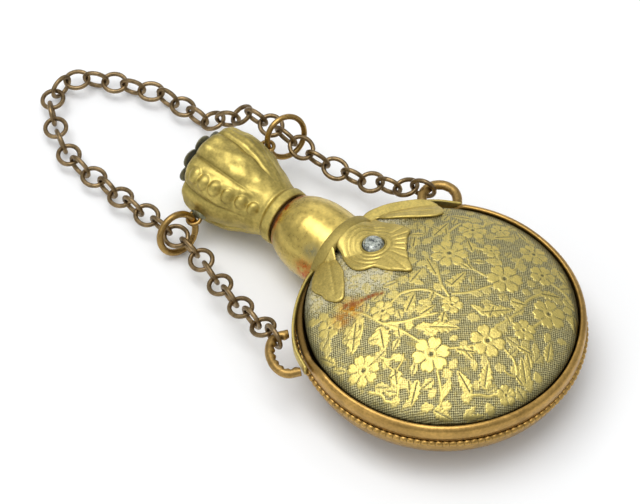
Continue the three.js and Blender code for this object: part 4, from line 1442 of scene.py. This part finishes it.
class FLASK_OT_stage(FlaskMaker, bpy.types.Operator):
    """Paper floor, soft lights and camera"""

    bl_idname = "flask.stage"
    bl_label = "Stage"

    def execute(self, context):
        _, colours = self.looks(context)
        scene = context.scene
        scene.view_settings.view_transform = "Standard"
        target_m = Vector(VIEW_TARGET) * MM
        floor = bpy.data.meshes.new("floor")
        half_m, level_m = FLOOR_HALF * MM, CAD_LOW[2] - FLOOR_DROP * MM
        corners = ((-half_m, -half_m), (half_m, -half_m), (half_m, half_m), (-half_m, half_m))
        floor.from_pydata([(x, y, level_m) for x, y in corners], [], [(0, 1, 2, 3)])
        floor.materials.append(floor_paper(colours))
        sheet = bpy.data.objects.new("floor", floor)
        scene.collection.objects.link(sheet)
        self.lights(scene, target_m)
        self.surroundings(scene)
        self.camera(scene, target_m)
        return {"FINISHED"}

    def lights(self, scene, target_m):
        """Soft boxes: one overhead, and two weak ones that show the edges."""
        for name, place, (width, depth), watts, shade, aimed in LIGHTS:
            data = bpy.data.lights.new(name, "AREA")
            data.shape = "RECTANGLE"
            data.size, data.size_y = width * MM, depth * MM
            data.energy = watts
            data.color = linear(shade)
            lamp = bpy.data.objects.new(name, data)
            lamp.location = target_m + Vector(place) * MM
            if aimed:
                lamp.rotation_euler = (target_m - lamp.location).to_track_quat("-Z", "Y").to_euler()
            scene.collection.objects.link(lamp)

    def surroundings(self, scene):
        """A pale room, darker towards its sides, which the metal reflects."""
        world = bpy.data.worlds.new("pale_room")
        scene.world = world
        world.use_nodes = True
        tree = world.node_tree
        tree.nodes.clear()
        up = add(tree, "SeparateXYZ", add(tree, "TexCoord", out="Generated"), out="Z")
        shade = add(tree, "MixRGB", add(tree, "MapRange", up, 0.0, 0.9), linear(ROOM_SIDES), linear(ROOM_TOP))
        add(tree, "OutputWorld", add(tree, "Background", shade, 1.0))

    def camera(self, scene, target_m):
        """A long lens, high and to the left."""
        azimuth, elevation = math.radians(VIEW_AZIMUTH), math.radians(VIEW_ELEVATION)
        back = Vector((math.sin(azimuth) * math.cos(elevation), -math.cos(azimuth) * math.cos(elevation),
                       math.sin(elevation)))
        data = bpy.data.cameras.new("camera")
        data.sensor_width = 36
        data.lens = LENS
        data.clip_start, data.clip_end = 0.01, 10
        eye = bpy.data.objects.new("camera", data)
        eye.location = target_m + back * VIEW_DISTANCE * MM
        eye.rotation_euler = (-back).to_track_quat("-Z", "Y").to_euler()
        scene.collection.objects.link(eye)
        scene.camera = eye


class FLASK_PT_panel(bpy.types.Panel):
    """Sidebar panel that lists the flask's operators and values"""

    bl_idname = "FLASK_PT_panel"
    bl_label = "Scent Flask"
    bl_space_type = "VIEW_3D"
    bl_region_type = "UI"
    bl_category = "Scent Flask"

    def draw(self, context):
        for operator in OPERATORS:
            self.layout.operator(operator.bl_idname)
        for values in (context.scene.flask_sizes, context.scene.flask_colours):
            for name in values.__annotations__:
                self.layout.prop(values, name)


OPERATORS = (FLASK_OT_stage, FLASK_OT_dome, FLASK_OT_rim, FLASK_OT_neck, FLASK_OT_collar, FLASK_OT_stopper,
             FLASK_OT_chain)
CLASSES = (FlaskSizes, FlaskColours, *OPERATORS, FLASK_PT_panel)


def register():
    """Adds the flask's classes and values to Blender."""
    for cls in CLASSES:
        bpy.utils.register_class(cls)
    bpy.types.Scene.flask_sizes = bpy.props.PointerProperty(type=FlaskSizes)
    bpy.types.Scene.flask_colours = bpy.props.PointerProperty(type=FlaskColours)


def unregister():
    """Takes them out again."""
    del bpy.types.Scene.flask_colours
    del bpy.types.Scene.flask_sizes
    for cls in reversed(CLASSES):
        bpy.utils.unregister_class(cls)


def main():
    """Builds the whole flask."""
    register()
    bpy.ops.flask.stage()
    bpy.ops.flask.dome()
    bpy.ops.flask.rim()
    bpy.ops.flask.neck()
    bpy.ops.flask.collar()
    bpy.ops.flask.stopper()
    bpy.ops.flask.chain()


if __name__ == "__main__":
    main()
